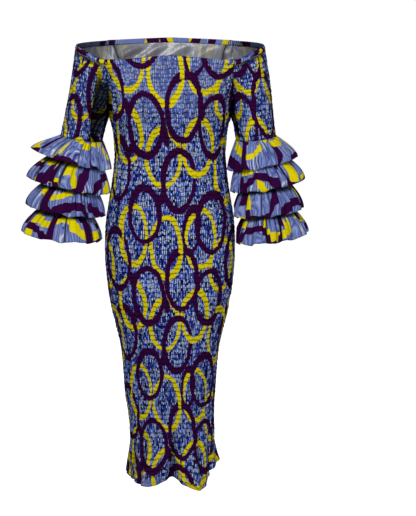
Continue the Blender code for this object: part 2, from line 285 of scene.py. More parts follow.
TRUNK_FOLDS = {
    Panel.FRONT: (
        # gathers from the neckline's corners to the underarms
        Fold(-57.0, -0.05, -84.0, -0.215, 0.008, 0.008),
        Fold(-51.0, -0.045, -76.0, -0.195, 0.005, 0.004),
        Fold(-48.0, -0.06, -68.0, -0.22, 0.006, 0.003),
        Fold(-60.0, -0.075, -88.0, -0.19, 0.005, -0.004),
        Fold(65.0, -0.06, 88.0, -0.2, 0.006, 0.004),
        Fold(58.0, -0.05, 82.0, -0.195, 0.004, 0.003),
        Fold(49.0, -0.055, 72.0, -0.205, 0.005, 0.002),
        # drag lines over the waist and the hip
        Fold(-84.0, -0.255, -48.0, -0.3, 0.009, 0.003),
        Fold(84.0, -0.265, 52.0, -0.305, 0.009, 0.003),
        Fold(-80.0, -0.64, -40.0, -0.69, 0.01, 0.002),
        Fold(80.0, -0.625, 38.0, -0.68, 0.01, 0.002),
        # creases of the hem frill
        Fold(2.0, -0.945, 0.0, -1.12, 0.006, 0.009),
        Fold(-16.0, -0.985, -12.0, -1.12, 0.009, -0.004),
        Fold(-34.0, -0.96, -40.0, -1.12, 0.007, 0.006),
        Fold(-62.0, -0.975, -66.0, -1.12, 0.007, 0.007),
        Fold(16.0, -0.985, 20.0, -1.13, 0.009, -0.005),
        Fold(36.0, -0.975, 42.0, -1.13, 0.006, 0.006),
        Fold(58.0, -0.96, 64.0, -1.11, 0.007, 0.01),
        Fold(80.0, -0.99, 82.0, -1.1, 0.007, 0.004),
        Fold(-80.0, -0.99, -82.0, -1.1, 0.007, 0.004),
    ),
    Panel.BACK: (
        Fold(-57.0, -0.045, -84.0, -0.205, 0.009, 0.008),
        Fold(-49.0, -0.05, -72.0, -0.2, 0.006, 0.003),
        Fold(58.0, -0.04, 84.0, -0.21, 0.009, 0.008),
        Fold(51.0, -0.055, 74.0, -0.19, 0.006, 0.003),
        # slack at the top of the back
        Fold(-50.0, 0.004, -52.0, -0.085, 0.0045, 0.007),
        Fold(50.0, 0.004, 51.0, -0.085, 0.004, 0.004),
        Fold(-12.0, 0.008, -58.0, -0.052, 0.0095, 0.01),
        Fold(2.0, 0.006, -46.0, -0.078, 0.0085, 0.01),
        Fold(18.0, 0.004, -26.0, -0.088, 0.012, 0.009),
        Fold(44.0, 0.002, 4.0, -0.08, 0.013, 0.007),
        Fold(60.0, -0.006, 30.0, -0.07, 0.012, 0.006),
        Fold(-82.0, -0.3, -44.0, -0.345, 0.01, 0.003),
        Fold(82.0, -0.29, 40.0, -0.34, 0.01, 0.003),
        Fold(-5.0, -0.95, 2.0, -1.11, 0.01, 0.008),
        Fold(-42.0, -0.975, -50.0, -1.11, 0.01, 0.005),
        Fold(40.0, -0.98, 50.0, -1.11, 0.01, 0.006),
        Fold(76.0, -0.99, 80.0, -1.1, 0.008, 0.004),
    ),
}

SLEEVE_FOLDS = {
    Side.LEFT: (
        # the valley in front of the underarm, the ridge behind it and the gathers beside it
        Fold(99.0, -0.052, 142.0, -0.29, 0.0115, 0.022),
        Fold(119.0, -0.045, 146.0, -0.215, 0.008, -0.007),
        Fold(134.0, -0.07, 158.0, -0.205, 0.004, 0.005),
        Fold(82.0, -0.055, 104.0, -0.2, 0.006, 0.005),
        Fold(68.0, -0.08, 92.0, -0.225, 0.007, 0.004),
        # the same behind it
        Fold(-112.0, -0.05, -142.0, -0.23, 0.011, 0.016),
        Fold(-128.0, -0.05, -152.0, -0.2, 0.007, -0.005),
        Fold(-84.0, -0.065, -112.0, -0.21, 0.007, 0.005),
    ),
    Side.RIGHT: (
        # the valley beside the underarm, and the gathers that run up from it
        Fold(131.0, -0.08, 172.0, -0.19, 0.008, 0.011),
        Fold(172.0, -0.15, 146.0, -0.245, 0.01, 0.009),
        Fold(116.0, -0.085, 136.0, -0.185, 0.005, 0.004),
        Fold(98.0, -0.04, 126.0, -0.12, 0.005, 0.003),
        Fold(78.0, -0.15, 118.0, -0.215, 0.006, 0.003),
        # the same behind it
        Fold(-120.0, -0.06, -150.0, -0.22, 0.01, 0.013),
        Fold(-98.0, -0.06, -128.0, -0.21, 0.007, 0.005),
    ),
}


def read_table(table: Sequence[NamedTuple], column: str, at: Array) -> Array:
    """Reads one column of a table at places between its rows, on a smooth curve.

    Args:
        table: Rows with a place called at.
        column: The name of the value to read.
        at: Places to read it at.

    Returns:
        The values, in the shape of at.
    """
    rows = sorted(table, key=lambda row: row.at)
    places = np.array([row.at for row in rows])
    values = np.array([getattr(row, column) for row in rows])
    steps = np.diff(values) / np.diff(places)
    slopes = np.concatenate([steps[:1], (values[2:] - values[:-2]) / (places[2:] - places[:-2]),
                             steps[-1:]])
    at = np.clip(at, places[0], places[-1])
    i = np.clip(np.searchsorted(places, at, side="right") - 1, 0, len(rows) - 2)
    span = places[i + 1] - places[i]
    t = (at - places[i]) / span
    return ((2 * t**3 - 3 * t**2 + 1) * values[i] + (t**3 - 2 * t**2 + t) * span * slopes[i]
            + (3 * t**2 - 2 * t**3) * values[i + 1] + (t**3 - t**2) * span * slopes[i + 1])


def flat_height(height: Array) -> Array:
    """Place down the flat cloth of a height on the worn dress, in metres.

    Args:
        height: Height of each point.

    Returns:
        How far down the cloth each point lies.
    """
    heights = np.linspace(-1.2, 0.1, 261)
    steps = read_table(GATHERS, "down", heights) * (heights[1] - heights[0])
    places = np.cumsum(steps)
    places -= np.interp(0.0, heights, places)
    return np.interp(height, heights, places) + PRINT_TOP


def smooth_step(value: Array) -> Array:
    """Eases a value from 0 to 1."""
    value = np.clip(value, 0.0, 1.0)
    return value * value * (3.0 - 2.0 * value)


def bell(value: Array) -> Array:
    """1 at 0, and soon nothing on both sides of it."""
    return np.exp(-(value**2))


class Ease(NamedTuple):
    """A soft change from 0 to 1 from a start on, over a length that is negative to go down."""

    start: float
    length: float

    def at(self, value: Array) -> Array:
        """How far the change has gone at a value."""
        return smooth_step((value - self.start) / self.length)


class Stripe(NamedTuple):
    """A soft stripe: how strong it is, where its middle is and how far it spreads."""

    strength: float
    middle: float
    width: float

    def at(self, value: Array) -> Array:
        """The strength at a value."""
        return self.strength * bell((value - self.middle) / self.width)


def pile_waves(waves: Sequence[Wave], turn: Array, start: float) -> Array:
    """Waves on top of each other.

    Args:
        waves: The waves.
        turn: Place of each point round the piece, in radians.
        start: The piece's own start.

    Returns:
        Their height at each point.
    """
    return sum(wave.height * np.sin(wave.count * turn + wave.share * start) for wave in waves)


def signed_power(value: Array, power: float) -> Array:
    """A sine or cosine raised to a power, with its sign kept."""
    return np.sign(value) * np.abs(value) ** power


def wrap(degrees: Array) -> Array:
    """The same directions between -180 and 180 degrees."""
    return (degrees + 180.0) % 360.0 - 180.0


def lengths_along(points: Array) -> Array:
    """How far each point of a line lies from the line's start."""
    steps = np.linalg.norm(np.diff(points, axis=0), axis=-1)
    return np.concatenate([[0.0], np.cumsum(steps)])


def fold_depth(folds: Sequence[Fold], degrees: Array, height: Array, radius: float) -> Array:
    """How far the folds sink the cloth.

    Args:
        folds: The folds on this piece.
        degrees: Place of each point across or round the piece.
        height: Height of each point.
        radius: Distance from the piece's axis, which turns degrees into metres.

    Returns:
        The depth at each point, in metres.
    """
    total = np.zeros_like(height)
    for fold in folds:
        across = math.radians(fold.end - fold.start) * radius
        down = fold.bottom - fold.top
        length = math.hypot(across, down)
        x = np.radians(degrees - fold.start) * radius
        z = height - fold.top
        along = (x * across + z * down) / length
        aside = (x * down - z * across) / length
        taper = np.sin(np.pi * np.clip(along / length, 0.0, 1.0)) ** 0.7
        total += fold.depth * taper * bell(aside / fold.width)
    return total


def fold_shade(folds: Sequence[Fold], degrees: Array, height: Array, radius: float) -> Array:
    """Painted shade in the folds' troughs, from 0 to 1; only the deep ones count.

    The arguments are those of fold_depth.
    """
    deep = [fold for fold in folds if fold.depth > SHALLOW_FOLD]
    return np.clip(fold_depth(deep, degrees, height, radius) / DARKEST_FOLD, 0, 1)


# ------------------------------------------------------------------ worn form
@dataclass(frozen=True)
class WornForm:
    """The general figure's form that the shirred cloth stands on."""

    neck_half_width: float = 0.230
    neck_half_depth: float = 0.112
    neck_corner: float = 43.0
    neck_fade: float = 0.15
    armhole_corner: float = 56.0
    sleeve_corner: float = 108.0
    underarm_x: float = 0.1505
    underarm_z: float = -0.178
    armhole_lean: float = 0.035
    armhole_hollow: float = 2.6
    trunk_join: float = -0.224
    sleeve_join: float = -0.206
    frill_start: float = -0.985
    hem_level: float = -1.075
    flare_rise: float = 1.4
    roundness: float = 2.25
    seam_dip: float = 0.0015
    trunk_radius: float = 0.12
    sleeve_radius: float = 0.06

    def neck_point(self, degrees: Array) -> Array:
        """Points of the neckline, from centre front (0) past the right side (90).

        Args:
            degrees: Places round the neckline.

        Returns:
            The points, with x, y and z on the last axis.
        """
        turn = np.radians(degrees)
        height = read_table(NECKLINE, "height", np.abs(degrees))
        return np.stack([self.neck_half_width * np.sin(turn),
                         -self.neck_half_depth * np.cos(turn), height], axis=-1)

    def seam_x(self, height: Array) -> Array:
        """How far from the middle the armhole seam stands at a height."""
        return self.underarm_x + self.armhole_lean * (height - self.underarm_z)

    def armhole_point(self, side: Array, panel: Array, share: Array) -> Array:
        """Points of the armhole seam.

        Args:
            side: -1 on the left side, 1 on the right.
            panel: -1 on the front half of the seam, 1 on the back half.
            share: 0 at the neckline corner, 1 at the underarm.

        Returns:
            The points, with x, y and z on the last axis.
        """
        corner = self.neck_point(np.where(panel < 0, self.neck_corner, 180 - self.neck_corner))
        turn = np.clip(share, 0.0, 1.0) * math.pi / 2
        y = (np.abs(corner[..., 1]) - self.seam_dip) * np.cos(turn) ** self.armhole_hollow
        z = corner[..., 2] + (self.underarm_z - corner[..., 2]) * np.sin(turn)
        return np.stack([side * self.seam_x(z), panel * y, z], axis=-1)

    def height_under(self, top: Array, corner: Array, on_neck: Array, level: Array) -> Array:
        """Heights of levels that bend with the neckline and end at a piece's own top.

        Args:
            top: The point where each column ends.
            corner: The neckline corner that each column past the neckline belongs to.
            on_neck: Whether the column ends on the neckline.
            level: Height that the cloth would have under a level neckline.

        Returns:
            The height of each point.
        """
        neck_z = np.where(on_neck, top[..., 2], corner[..., 2])
        height = level + neck_z * smooth_step(1.0 + level / self.neck_fade)
        return np.minimum(height, top[..., 2])

    def settle(self, section: Callable[[Array], Array], top: Array, height: Array,
               join: float) -> Array:
        """Points of a piece that follows its own sections low down and its edge at the top.

        Args:
            section: Gives the points of the piece's sections at heights.
            top: The point where each column ends.
            height: Height of each point.
            join: The height below which only the sections count.

        Returns:
            The points, with x, y and z on the last axis.
        """
        fade = np.clip(1.0 - (top[..., 2] - height) / (top[..., 2] - join), 0, 1) ** 2
        return section(height) + (top - section(top[..., 2])) * fade[..., None]

    def trunk_section(self, panel: Panel, across: Array, height: Array) -> Array:
        """Points of the trunk's own sections at degrees across a panel.

        Args:
            panel: Which panel.
            across: Degrees across the panel.
            height: Height of each point.

        Returns:
            The points, with x, y and z on the last axis.
        """
        turn = np.radians(across)
        power = 2.0 / self.roundness
        width = read_table(TRUNK, "half_width", height)
        depth = read_table(TRUNK, panel.word, height)
        return np.stack([read_table(TRUNK, "x", height) + width * signed_power(np.sin(turn), power),
                         panel.value * depth * signed_power(np.cos(turn), power), height],
                        axis=-1)

    def trunk_top(self, panel: Panel, across: Array) -> Array:
        """Where each column of a trunk panel ends: on the neckline or the armhole seam.

        Args:
            panel: Which panel.
            across: Degrees across the panel.

        Returns:
            The points, with x, y and z on the last axis.
        """
        side = np.where(across < 0, -1.0, 1.0)
        on_neck = self.neck_corner * np.abs(across) / self.armhole_corner
        neck = self.neck_point(side * (on_neck if panel is Panel.FRONT else 180.0 - on_neck))
        share = (np.abs(across) - self.armhole_corner) / (90.0 - self.armhole_corner)
        armhole = self.armhole_point(side, np.full_like(side, panel.value), share)
        return np.where((share < 0)[..., None], neck, armhole)

    def trunk_cloth(self, panel: Panel, across: Array, level: Array) -> Array:
        """Points of a trunk panel.

        Args:
            panel: Which panel.
            across: Degrees across the panel, -90 and 90 at the side seams.
            level: Height that the cloth would have under a level neckline and over a
                level hem.

        Returns:
            The points, with x, y and z on the last axis.
        """
        top = self.trunk_top(panel, across)
        corner = self.trunk_top(panel, np.full_like(across, self.armhole_corner))
        on_neck = np.abs(across) < self.armhole_corner
        height = self.height_under(top, corner, on_neck, level)
        reach = np.clip((self.frill_start - level) / (self.frill_start - self.hem_level), 0, None)
        hem_z = read_table(HEMS[panel], "height", across)
        height = np.where(reach > 0, self.frill_start + reach * (hem_z - self.frill_start), height)
        point = self.settle(lambda heights: self.trunk_section(panel, across, heights),
                            top, height, self.trunk_join)
        out = point[..., :2] / np.linalg.norm(point[..., :2], axis=-1, keepdims=True)
        flare = read_table(HEMS[panel], "flare", across) * reach**self.flare_rise
        point[..., :2] += out * flare[..., None]
        return point

    def sleeve_section(self, side: Side, degrees: Array, height: Array) -> Array:
        """Points of a sleeve's own sections; 0 degrees is the outer side, 90 the front.

        Args:
            side: Which sleeve.
            degrees: Degrees round the sleeve.
            height: Height of each point, before the tilt.

        Returns:
            The points, with x, y and z on the last axis.
        """
        table = SLEEVES[side]
        turn = np.radians(degrees)
        across = read_table(table, "half_width", height) * np.cos(turn)
        lift = across * np.tan(np.radians(read_table(table, "tilt", height)))
        depth = read_table(table, "half_depth", height)
        return np.stack([side.value * (read_table(table, "x", height) + across),
                         read_table(table, "y", height) - depth * np.sin(turn),
                         height + lift], axis=-1)

    def sleeve_top(self, side: Side, degrees: Array) -> Array:
        """Where each column of a sleeve ends: on the neckline or the armhole seam.

        Args:
            side: Which sleeve.
            degrees: Degrees round the sleeve.

        Returns:
            The points, with x, y and z on the last axis.
        """
        wrapped = wrap(degrees)
        panel = np.where(wrapped >= 0, -1.0, 1.0)
        on_neck = 90.0 - wrapped / self.sleeve_corner * (90.0 - self.neck_corner)
        neck = self.neck_point(side.value * on_neck)
        share = (np.abs(wrapped) - self.sleeve_corner) / (180.0 - self.sleeve_corner)
        armhole = self.armhole_point(np.full_like(share, side.value), panel, share)
        return np.where((share < 0)[..., None], neck, armhole)

    def sleeve_cloth(self, side: Side, degrees: Array, level: Array) -> Array:
        """Points of a sleeve at degrees round it and at a level below a level neckline.

        Args:
            side: Which sleeve.
            degrees: Degrees round the sleeve.
            level: Height that the cloth would have under a level neckline.

        Returns:
            The points, with x, y and z on the last axis.
        """
        top = self.sleeve_top(side, degrees)
        wrapped = wrap(degrees)
        corner = self.neck_point(np.where(wrapped >= 0, self.neck_corner,
                                          180.0 - self.neck_corner))
        height = self.height_under(top, corner, np.abs(wrapped) < self.sleeve_corner, level)
        return self.settle(lambda heights: self.sleeve_section(side, degrees, heights),
                           top, height, self.sleeve_join)


FORM = WornForm()


# ------------------------------------------------------------------ making sheets
def outward(side: Side, degrees: Array) -> Array:
    """Directions away from a sleeve's axis."""
    turn = np.radians(degrees)
    return np.stack([side.value * np.cos(turn), -np.sin(turn), np.zeros_like(turn)], axis=-1)


def grid_normals(points: Array, out: Array) -> Array:
    """Normals of a grid of points, turned to the outward side.

    Args:
        points: Rows and columns of points.
        out: A rough outward direction at each point.

    Returns:
        Unit normals in the shape of points.
    """
    normal = np.cross(np.gradient(points, axis=1), np.gradient(points, axis=0))
    length = np.linalg.norm(normal, axis=-1)
    for row in range(len(points) - 2, -1, -1):
        flat = length[row] < 1e-9
        normal[row][flat] = normal[row + 1][flat]
        length[row][flat] = length[row + 1][flat]
    normal /= np.maximum(np.linalg.norm(normal, axis=-1, keepdims=True), 1e-12)
    turned = np.sum(normal * out, axis=-1, keepdims=True) < 0
    return np.where(turned, -normal, normal)


def deselect() -> None:
    """Leaves nothing selected, so that an operator acts on the new piece alone."""
    for thing in bpy.context.selected_objects:
        thing.select_set(False)


def cloth_shell(name: str, points: Array, maps: dict[str, Array], wall: float, out: Array,
                finishes: Sequence[bpy.types.Material]) -> bpy.types.Object:
    """Makes a sheet of cloth from a flat grid.

    Args:
        name: The piece's name.
        points: Rows and columns of points on the cloth's outer face.
        maps: UV maps by name, each with two values a point.
        wall: Thickness of the cloth, which goes in from the outer face.
        out: A rough outward direction at each point.
        finishes: The right side's finish and the wrong side's.

    Returns:
        The new object.
    """
    rows, columns = points.shape[:2]
    deselect()
    bpy.ops.mesh.primitive_grid_add(x_subdivisions=columns - 1, y_subdivisions=rows - 1, size=1.0)
    piece = bpy.context.active_object
    mesh = piece.data
    piece.name = mesh.name = name
    flat = np.empty(len(mesh.vertices) * 3)
    mesh.vertices.foreach_get("co", flat)
    flat = flat.reshape(-1, 3)
    column = np.rint((flat[:, 0] + 0.5) * (columns - 1)).astype(int)
    row = np.rint((0.5 - flat[:, 1]) * (rows - 1)).astype(int)
    mesh.vertices.foreach_set("co", points[row, column].ravel())
    loops = np.empty(len(mesh.loops), dtype=int)
    mesh.loops.foreach_get("vertex_index", loops)
    while mesh.uv_layers:
        mesh.uv_layers.remove(mesh.uv_layers[0])
    for map_name, values in maps.items():
        layer = mesh.uv_layers.new(name=map_name)
        layer.data.foreach_set("uv", values[row, column][loops].ravel())
    for finish in finishes:
        mesh.materials.append(finish)
    mesh.update()
    middle = mesh.polygons[len(mesh.polygons) // 2]
    away = points.reshape(-1, 3) - np.array(middle.center)
    nearest = np.argmin(np.linalg.norm(away, axis=1))
    if np.dot(np.array(middle.normal), out.reshape(-1, 3)[nearest]) < 0:
        mesh.flip_normals()
    bpy.ops.object.mode_set(mode="EDIT")
    bpy.ops.mesh.select_all(action="SELECT")
    bpy.ops.mesh.remove_doubles(threshold=2e-5)
    bpy.ops.object.mode_set(mode="OBJECT")
    mesh.shade_smooth()
    solidify = piece.modifiers.new("Cloth", "SOLIDIFY")
    solidify.thickness = wall
    solidify.offset = -1.0
    solidify.use_even_offset = False
    solidify.material_offset = 1
    solidify.material_offset_rim = 0
    bpy.ops.object.modifier_apply(modifier=solidify.name)
    LOG.info("%s: %d vertices", name, len(mesh.vertices))
    return piece


def declare(piece: bpy.types.Object, node: str) -> bpy.types.Object:
    """Hides the solid that a piece of cloth stands for and hangs the piece on the root.

    Args:
        piece: The piece.
        node: The solid that it stands for.

    Returns:
        The piece.
    """
    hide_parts(node)
    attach(piece, "root")
    return piece


def pair(first: Array, second: Array | None = None) -> Array:
    """Two masks, or one of them twice, as the values of a UV map."""
    return np.stack([first, first if second is None else second], axis=-1)


# ------------------------------------------------------------------ node sketching
class Wire:
    """What a node puts out, to be worked on with the usual signs."""

    def __init__(self, socket: bpy.types.NodeSocket) -> None:
        """Holds an output."""
        self.socket = socket

    def of(self, operation: str, *others: object) -> Wire:
        """One step of arithmetic, on vectors where any of the values is one.

        Args:
            operation: The name that Blender's Math or Vector Math has for it.
            others: The values after this one.

        Returns:
            The result.
        """
        values = (self, *others)
        kind = "ShaderNodeVectorMath" if any(map(is_vector, values)) else "ShaderNodeMath"
        made = self.socket.id_data.nodes.new(kind)
        made.operation = operation
        for socket, value in zip(made.inputs, values):
            feed(socket, value)
        return Wire(made.outputs["Value" if operation in ("LENGTH", "DOT_PRODUCT") else 0])

    def __add__(self, other: object) -> Wire:
        """The sum."""
        return self.of("ADD", other)

    def __sub__(self, other: object) -> Wire:
        """The difference."""
        return self.of("SUBTRACT", other)

    def __rsub__(self, other: float) -> Wire:
        """A number less this one."""
        return self.of("MULTIPLY_ADD", -1.0, other)

    def __mul__(self, other: object) -> Wire:
        """The product."""
        return self.of("MULTIPLY", other)

    def __truediv__(self, other: object) -> Wire:
        """The quotient."""
        return self.of("DIVIDE", other)

    def __abs__(self) -> Wire:
        """The size without its sign."""
        return self.of("ABSOLUTE")

    def held(self) -> Wire:
        """The same value, held between 0 and 1."""
        self.socket.node.use_clamp = True
        return self

    def output(self, label: str | int) -> Wire:
        """Another output of the same node."""
        return Wire(self.socket.node.outputs[label])

    def parts(self) -> tuple[Wire, ...]:
        """The x, y and z of a vector.

        Returns:
            Three wires.
        """
        made = self.socket.id_data.nodes.new("ShaderNodeSeparateXYZ")
        feed(made.inputs[0], self)
        return tuple(Wire(socket) for socket in made.outputs)


def is_vector(value: object) -> bool:
    """Whether a value is a vector or a colour, and not a number.

    Args:
        value: A wire, a tuple or a number.

    Returns:
        True for a vector or a colour.
    """
    if isinstance(value, Wire):
        return value.socket.type in ("VECTOR", "RGBA")
    return isinstance(value, tuple)


def feed(socket: bpy.types.NodeSocket, value: object) -> None:
    """Gives a socket a wire or a plain value.

    Args:
        socket: The input.
        value: What it is given.
    """
    if isinstance(value, Wire):
        socket.id_data.links.new(value.socket, socket)
    else:
        socket.default_value = value


class NodeSketch:
    """Adds nodes to a tree, for finishes written as short sums."""

    def __init__(self, tree: bpy.types.NodeTree) -> None:
        """Starts on a tree."""
        self.tree = tree

    def add(self, kind: str, feeds: dict[str | int, object], **settings: object) -> Wire:
        """Adds a node.

        Args:
            kind: Blender's name for the node.
            feeds: What its inputs are given.
            settings: Its plain settings.

        Returns:
            Its first output.
        """
        made = self.tree.nodes.new(kind)
        for key, value in settings.items():
            setattr(made, key, value)
        for label, value in feeds.items():
            feed(made.inputs[label], value)
        return Wire(made.outputs[0])

    def use(self, tree: bpy.types.NodeTree, **feeds: object) -> Wire:
        """Places a group and feeds its inputs."""
        return self.add("ShaderNodeGroup", feeds, node_tree=tree)

    def join(self, x: object, y: object, z: object = 0.0) -> Wire:
        """A vector from its x, y and z."""
        return self.add("ShaderNodeCombineXYZ", {0: x, 1: y, 2: z})

    def blend(self, factor: object, under: object, over: object) -> Wire:
        """Mixes two colours."""
        made = self.add("ShaderNodeMix", {0: factor, 6: under, 7: over}, data_type="RGBA")
        return made.output(2)

    def noise(self, place: Wire, scale: float, detail: float = 1.0) -> Wire:
        """Smooth noise over a flat place, from 0 to 1."""
        return self.add("ShaderNodeTexNoise", {"Vector": place, "Scale": scale, "Detail": detail},
                        noise_dimensions="2D")

    def uv(self, label: str) -> Wire:
        """One of the piece's own UV maps."""
        return self.add("ShaderNodeUVMap", {}, uv_map=label)

    def ramp(self, value: Wire, stops: dict[float, Colour]) -> Wire:
        """A colour for each value, between stops.

        Args:
            value: The value, from 0 to 1.
            stops: The colour at each of some values.

        Returns:
            The colour.
        """
        made = self.add("ShaderNodeValToRGB", {0: value})
        elements = made.socket.node.color_ramp.elements
        while len(elements) < len(stops):
            elements.new(1.0)
        for element, (place, colour) in zip(elements, stops.items()):
            element.position = place
            element.color = colour
        return made


class Group(NodeSketch):
    """A shader node group that is being drawn."""

    def __init__(self, name: str, inputs: dict[str, str], outputs: dict[str, str]) -> None:
        """Starts a group from the kinds of its inputs and outputs.

        Args:
            name: The group's name.
            inputs: The kind of each input: Float, Vector or Color.
            outputs: The kind of each output.
        """
        super().__init__(bpy.data.node_groups.new(name, "ShaderNodeTree"))
        for way, kinds in (("INPUT", inputs), ("OUTPUT", outputs)):
            for label, kind in kinds.items():
                self.tree.interface.new_socket(label, in_out=way, socket_type="NodeSocket" + kind)
        self.given = self.tree.nodes.new("NodeGroupInput").outputs
        self.result = self.tree.nodes.new("NodeGroupOutput").inputs

    def take(self, label: str) -> Wire:
        """One of the group's inputs."""
        return Wire(self.given[label])

    def close(self, **values: Wire) -> bpy.types.NodeTree:
        """Feeds the group's outputs and gives its tree.

        Args:
            values: What each output is fed.

        Returns:
            The group's tree.
        """
        for label, value in values.items():
            feed(self.result[label], value)
        return self.tree


class Line(NamedTuple):
    """A mask that rises or falls in a straight line with a value, held between 0 and 1."""

    slope: float
    start: float

    def over(self, value: Wire) -> Wire:
        """The mask of a value."""
        return (value * self.slope + self.start).held()


def ink(red: float, green: float, blue: float) -> Colour:
    """A colour from its screen values of 0 to 255.

    Args:
        red: Its red.
        green: Its green.
        blue: Its blue.

    Returns:
        The colour as light, with an alpha of 1.
    """
    def straight(value: float) -> float:
        """One screen value as light."""
        value /= 255.0
        return value / 12.92 if value <= 0.04045 else ((value + 0.055) / 1.055) ** 2.4

    return (straight(red), straight(green), straight(blue), 1.0)


# ------------------------------------------------------------------ the wax print
class Ink(Enum):
    """The figure's two inks."""

    YELLOW = ink(250, 232, 6)
    PURPLE = ink(58, 4, 66)


class Ring(NamedTuple):
    """One drawn ring of the print, or part of one, in metres of flat cloth.

    The stroke is thickest at middle, and runs for reach degrees to each side of it.
    """

    colour: Ink
    x: float
    y: float
    wide: float
    tall: float
    stroke: float
    turn: float = 0.0
    middle: float = 0.0
    reach: float = 720.0


@dataclass(frozen=True)
class WaxPrint:
    """The ring-figured wax print on its flat cloth."""

    repeat: tuple[float, float] = (0.585, 0.448)
    edge: float = 0.0008
    swell: float = 0.22
    upright: float = 0.16
    taper: float = 0.10
    wander: float = 0.009
    wander_scale: float = 16.0
    rings: tuple[Ring, ...] = (
        # yellow rings, under
        Ring(Ink.YELLOW, 0.122, 0.168, 0.064, 0.072, 0.0151, 8, 40),
        Ring(Ink.YELLOW, 0.143, 0.356, 0.063, 0.077, 0.0147, -5, 200),
        Ring(Ink.YELLOW, 0.278, 0.110, 0.068, 0.072, 0.0151, 0, 120),
        Ring(Ink.YELLOW, 0.288, 0.325, 0.065, 0.079, 0.0154, 6, 300),
        Ring(Ink.YELLOW, 0.424, 0.134, 0.063, 0.070, 0.0151, -8, 60),
        Ring(Ink.YELLOW, 0.438, 0.347, 0.066, 0.075, 0.0147, 4, 180),
        Ring(Ink.YELLOW, 0.564, 0.069, 0.061, 0.079, 0.0147, 0, 270),
        Ring(Ink.YELLOW, 0.552, 0.273, 0.064, 0.070, 0.0154, -6, 20),
        # purple rings, over
        Ring(Ink.PURPLE, 0.068, 0.078, 0.065, 0.077, 0.0176, -6, 110),
        Ring(Ink.PURPLE, 0.054, 0.287, 0.068, 0.079, 0.0181, 5, 150),
        Ring(Ink.PURPLE, 0.206, 0.193, 0.070, 0.077, 0.0185, 4, 240),
        Ring(Ink.PURPLE, 0.197, 0.410, 0.065, 0.070, 0.0176, -4, 100),
        Ring(Ink.PURPLE, 0.342, 0.052, 0.065, 0.077, 0.0185, -8, 200),
        Ring(Ink.PURPLE, 0.360, 0.237, 0.068, 0.081, 0.0176, -4, 130),
        Ring(Ink.PURPLE, 0.491, 0.186, 0.065, 0.075, 0.0176, 6, 320),
        Ring(Ink.PURPLE, 0.489, 0.388, 0.070, 0.075, 0.0185, -5, 80),
        Ring(Ink.PURPLE, 0.398, 0.370, 0.033, 0.057, 0.0146, -6, 80),
        # filled lenses where purple rings lap
        Ring(Ink.PURPLE, 0.132, 0.125, 0.006, 0.013, 0.0240, -40),
        Ring(Ink.PURPLE, 0.285, 0.170, 0.006, 0.014, 0.0250, 28),
        Ring(Ink.PURPLE, 0.428, 0.231, 0.006, 0.014, 0.0250, 20),
        Ring(Ink.PURPLE, 0.129, 0.235, 0.006, 0.013, 0.0240, 30),
        Ring(Ink.PURPLE, 0.271, 0.011, 0.006, 0.013, 0.0240, -35),
        # yellow strokes that pass over
        Ring(Ink.YELLOW, 0.288, 0.325, 0.065, 0.079, 0.0138, 6, 25, 48),
        Ring(Ink.YELLOW, 0.122, 0.168, 0.064, 0.072, 0.0138, 8, 215, 50),
        Ring(Ink.YELLOW, 0.424, 0.134, 0.063, 0.070, 0.0138, -8, 285, 46),
        Ring(Ink.YELLOW, 0.564, 0.069, 0.061, 0.079, 0.0138, 0, 70, 44),
        Ring(Ink.YELLOW, 0.143, 0.356, 0.051, 0.064, 0.0054, -5, 170, 45),
    )

    def ring_group(self) -> bpy.types.NodeTree:
        """The group that draws one ring wherever the repeat brings it round.

        Returns:
            The group's tree.
        """
        group = Group("Print ring", {
            "Place": "Vector", "Centre": "Vector", "Radii": "Vector", "Stroke": "Float",
            "Turn": "Float", "Middle": "Float", "Reach": "Float"}, {"Mask": "Float"})
        size = (*self.repeat, 1.0)
        share = (group.take("Place") - group.take("Centre")) / size + HALF
        near = (share.of("FRACTION") - HALF) * size
        x, y, _ = near.parts()
        cosine = group.take("Turn").of("COSINE")
        sine = group.take("Turn").of("SINE")
        turned_x = x * cosine + y * sine
        turned_y = y * cosine - x * sine
        radii = group.take("Radii")
        scaled = group.join(turned_x, turned_y) / (radii + (0.0, 0.0, 1.0))
        off = abs((scaled.of("LENGTH") - 1.0) * radii.of("DOT_PRODUCT", (0.5, 0.5, 0.0)))
        angle = turned_y.of("ARCTAN2", turned_x) - group.take("Middle")
        angle = abs(angle.of("WRAP", math.pi, -math.pi))
        upright = abs(turned_x / near.of("LENGTH").of("MAXIMUM", 0.001))
        swell = angle.of("COSINE") * self.swell + (upright * self.upright + 1.0)
        drawn = ((group.take("Reach") - angle) / self.taper).held()
        half = group.take("Stroke") * 0.5 * (swell * drawn)
        stroke = ((half - off) / self.edge + 0.5).held()
        return group.close(Mask=stroke * drawn)

    def figure_group(self) -> bpy.types.NodeTree:
        """The group that lays the rings over a ground colour, hand drawn edges and all.

        Returns:
            The group's tree.
        """
        one = self.ring_group()
        group = Group("Wax print figure", {"Place": "Vector", "Ground": "Color"},
                      {"Color": "Color", "Figure": "Float"})
        place = group.take("Place")
        shift = group.noise(place, self.wander_scale, 0.0).output("Color") - HALF
        place = shift * (self.wander, self.wander, 0.0) + place
        colour = group.take("Ground")
        figure: object = 0.0
        for ring in self.rings:
            mask = group.use(one, Place=place, Centre=(ring.x, ring.y, 0.0),
                             Radii=(ring.wide, ring.tall, 0.0), Stroke=ring.stroke,
                             Turn=math.radians(ring.turn), Middle=math.radians(ring.middle),
                             Reach=math.radians(ring.reach))
            colour = group.blend(mask, colour, ring.colour.value)
            figure = mask.of("MAXIMUM", figure)
        return group.close(Color=colour, Figure=figure)


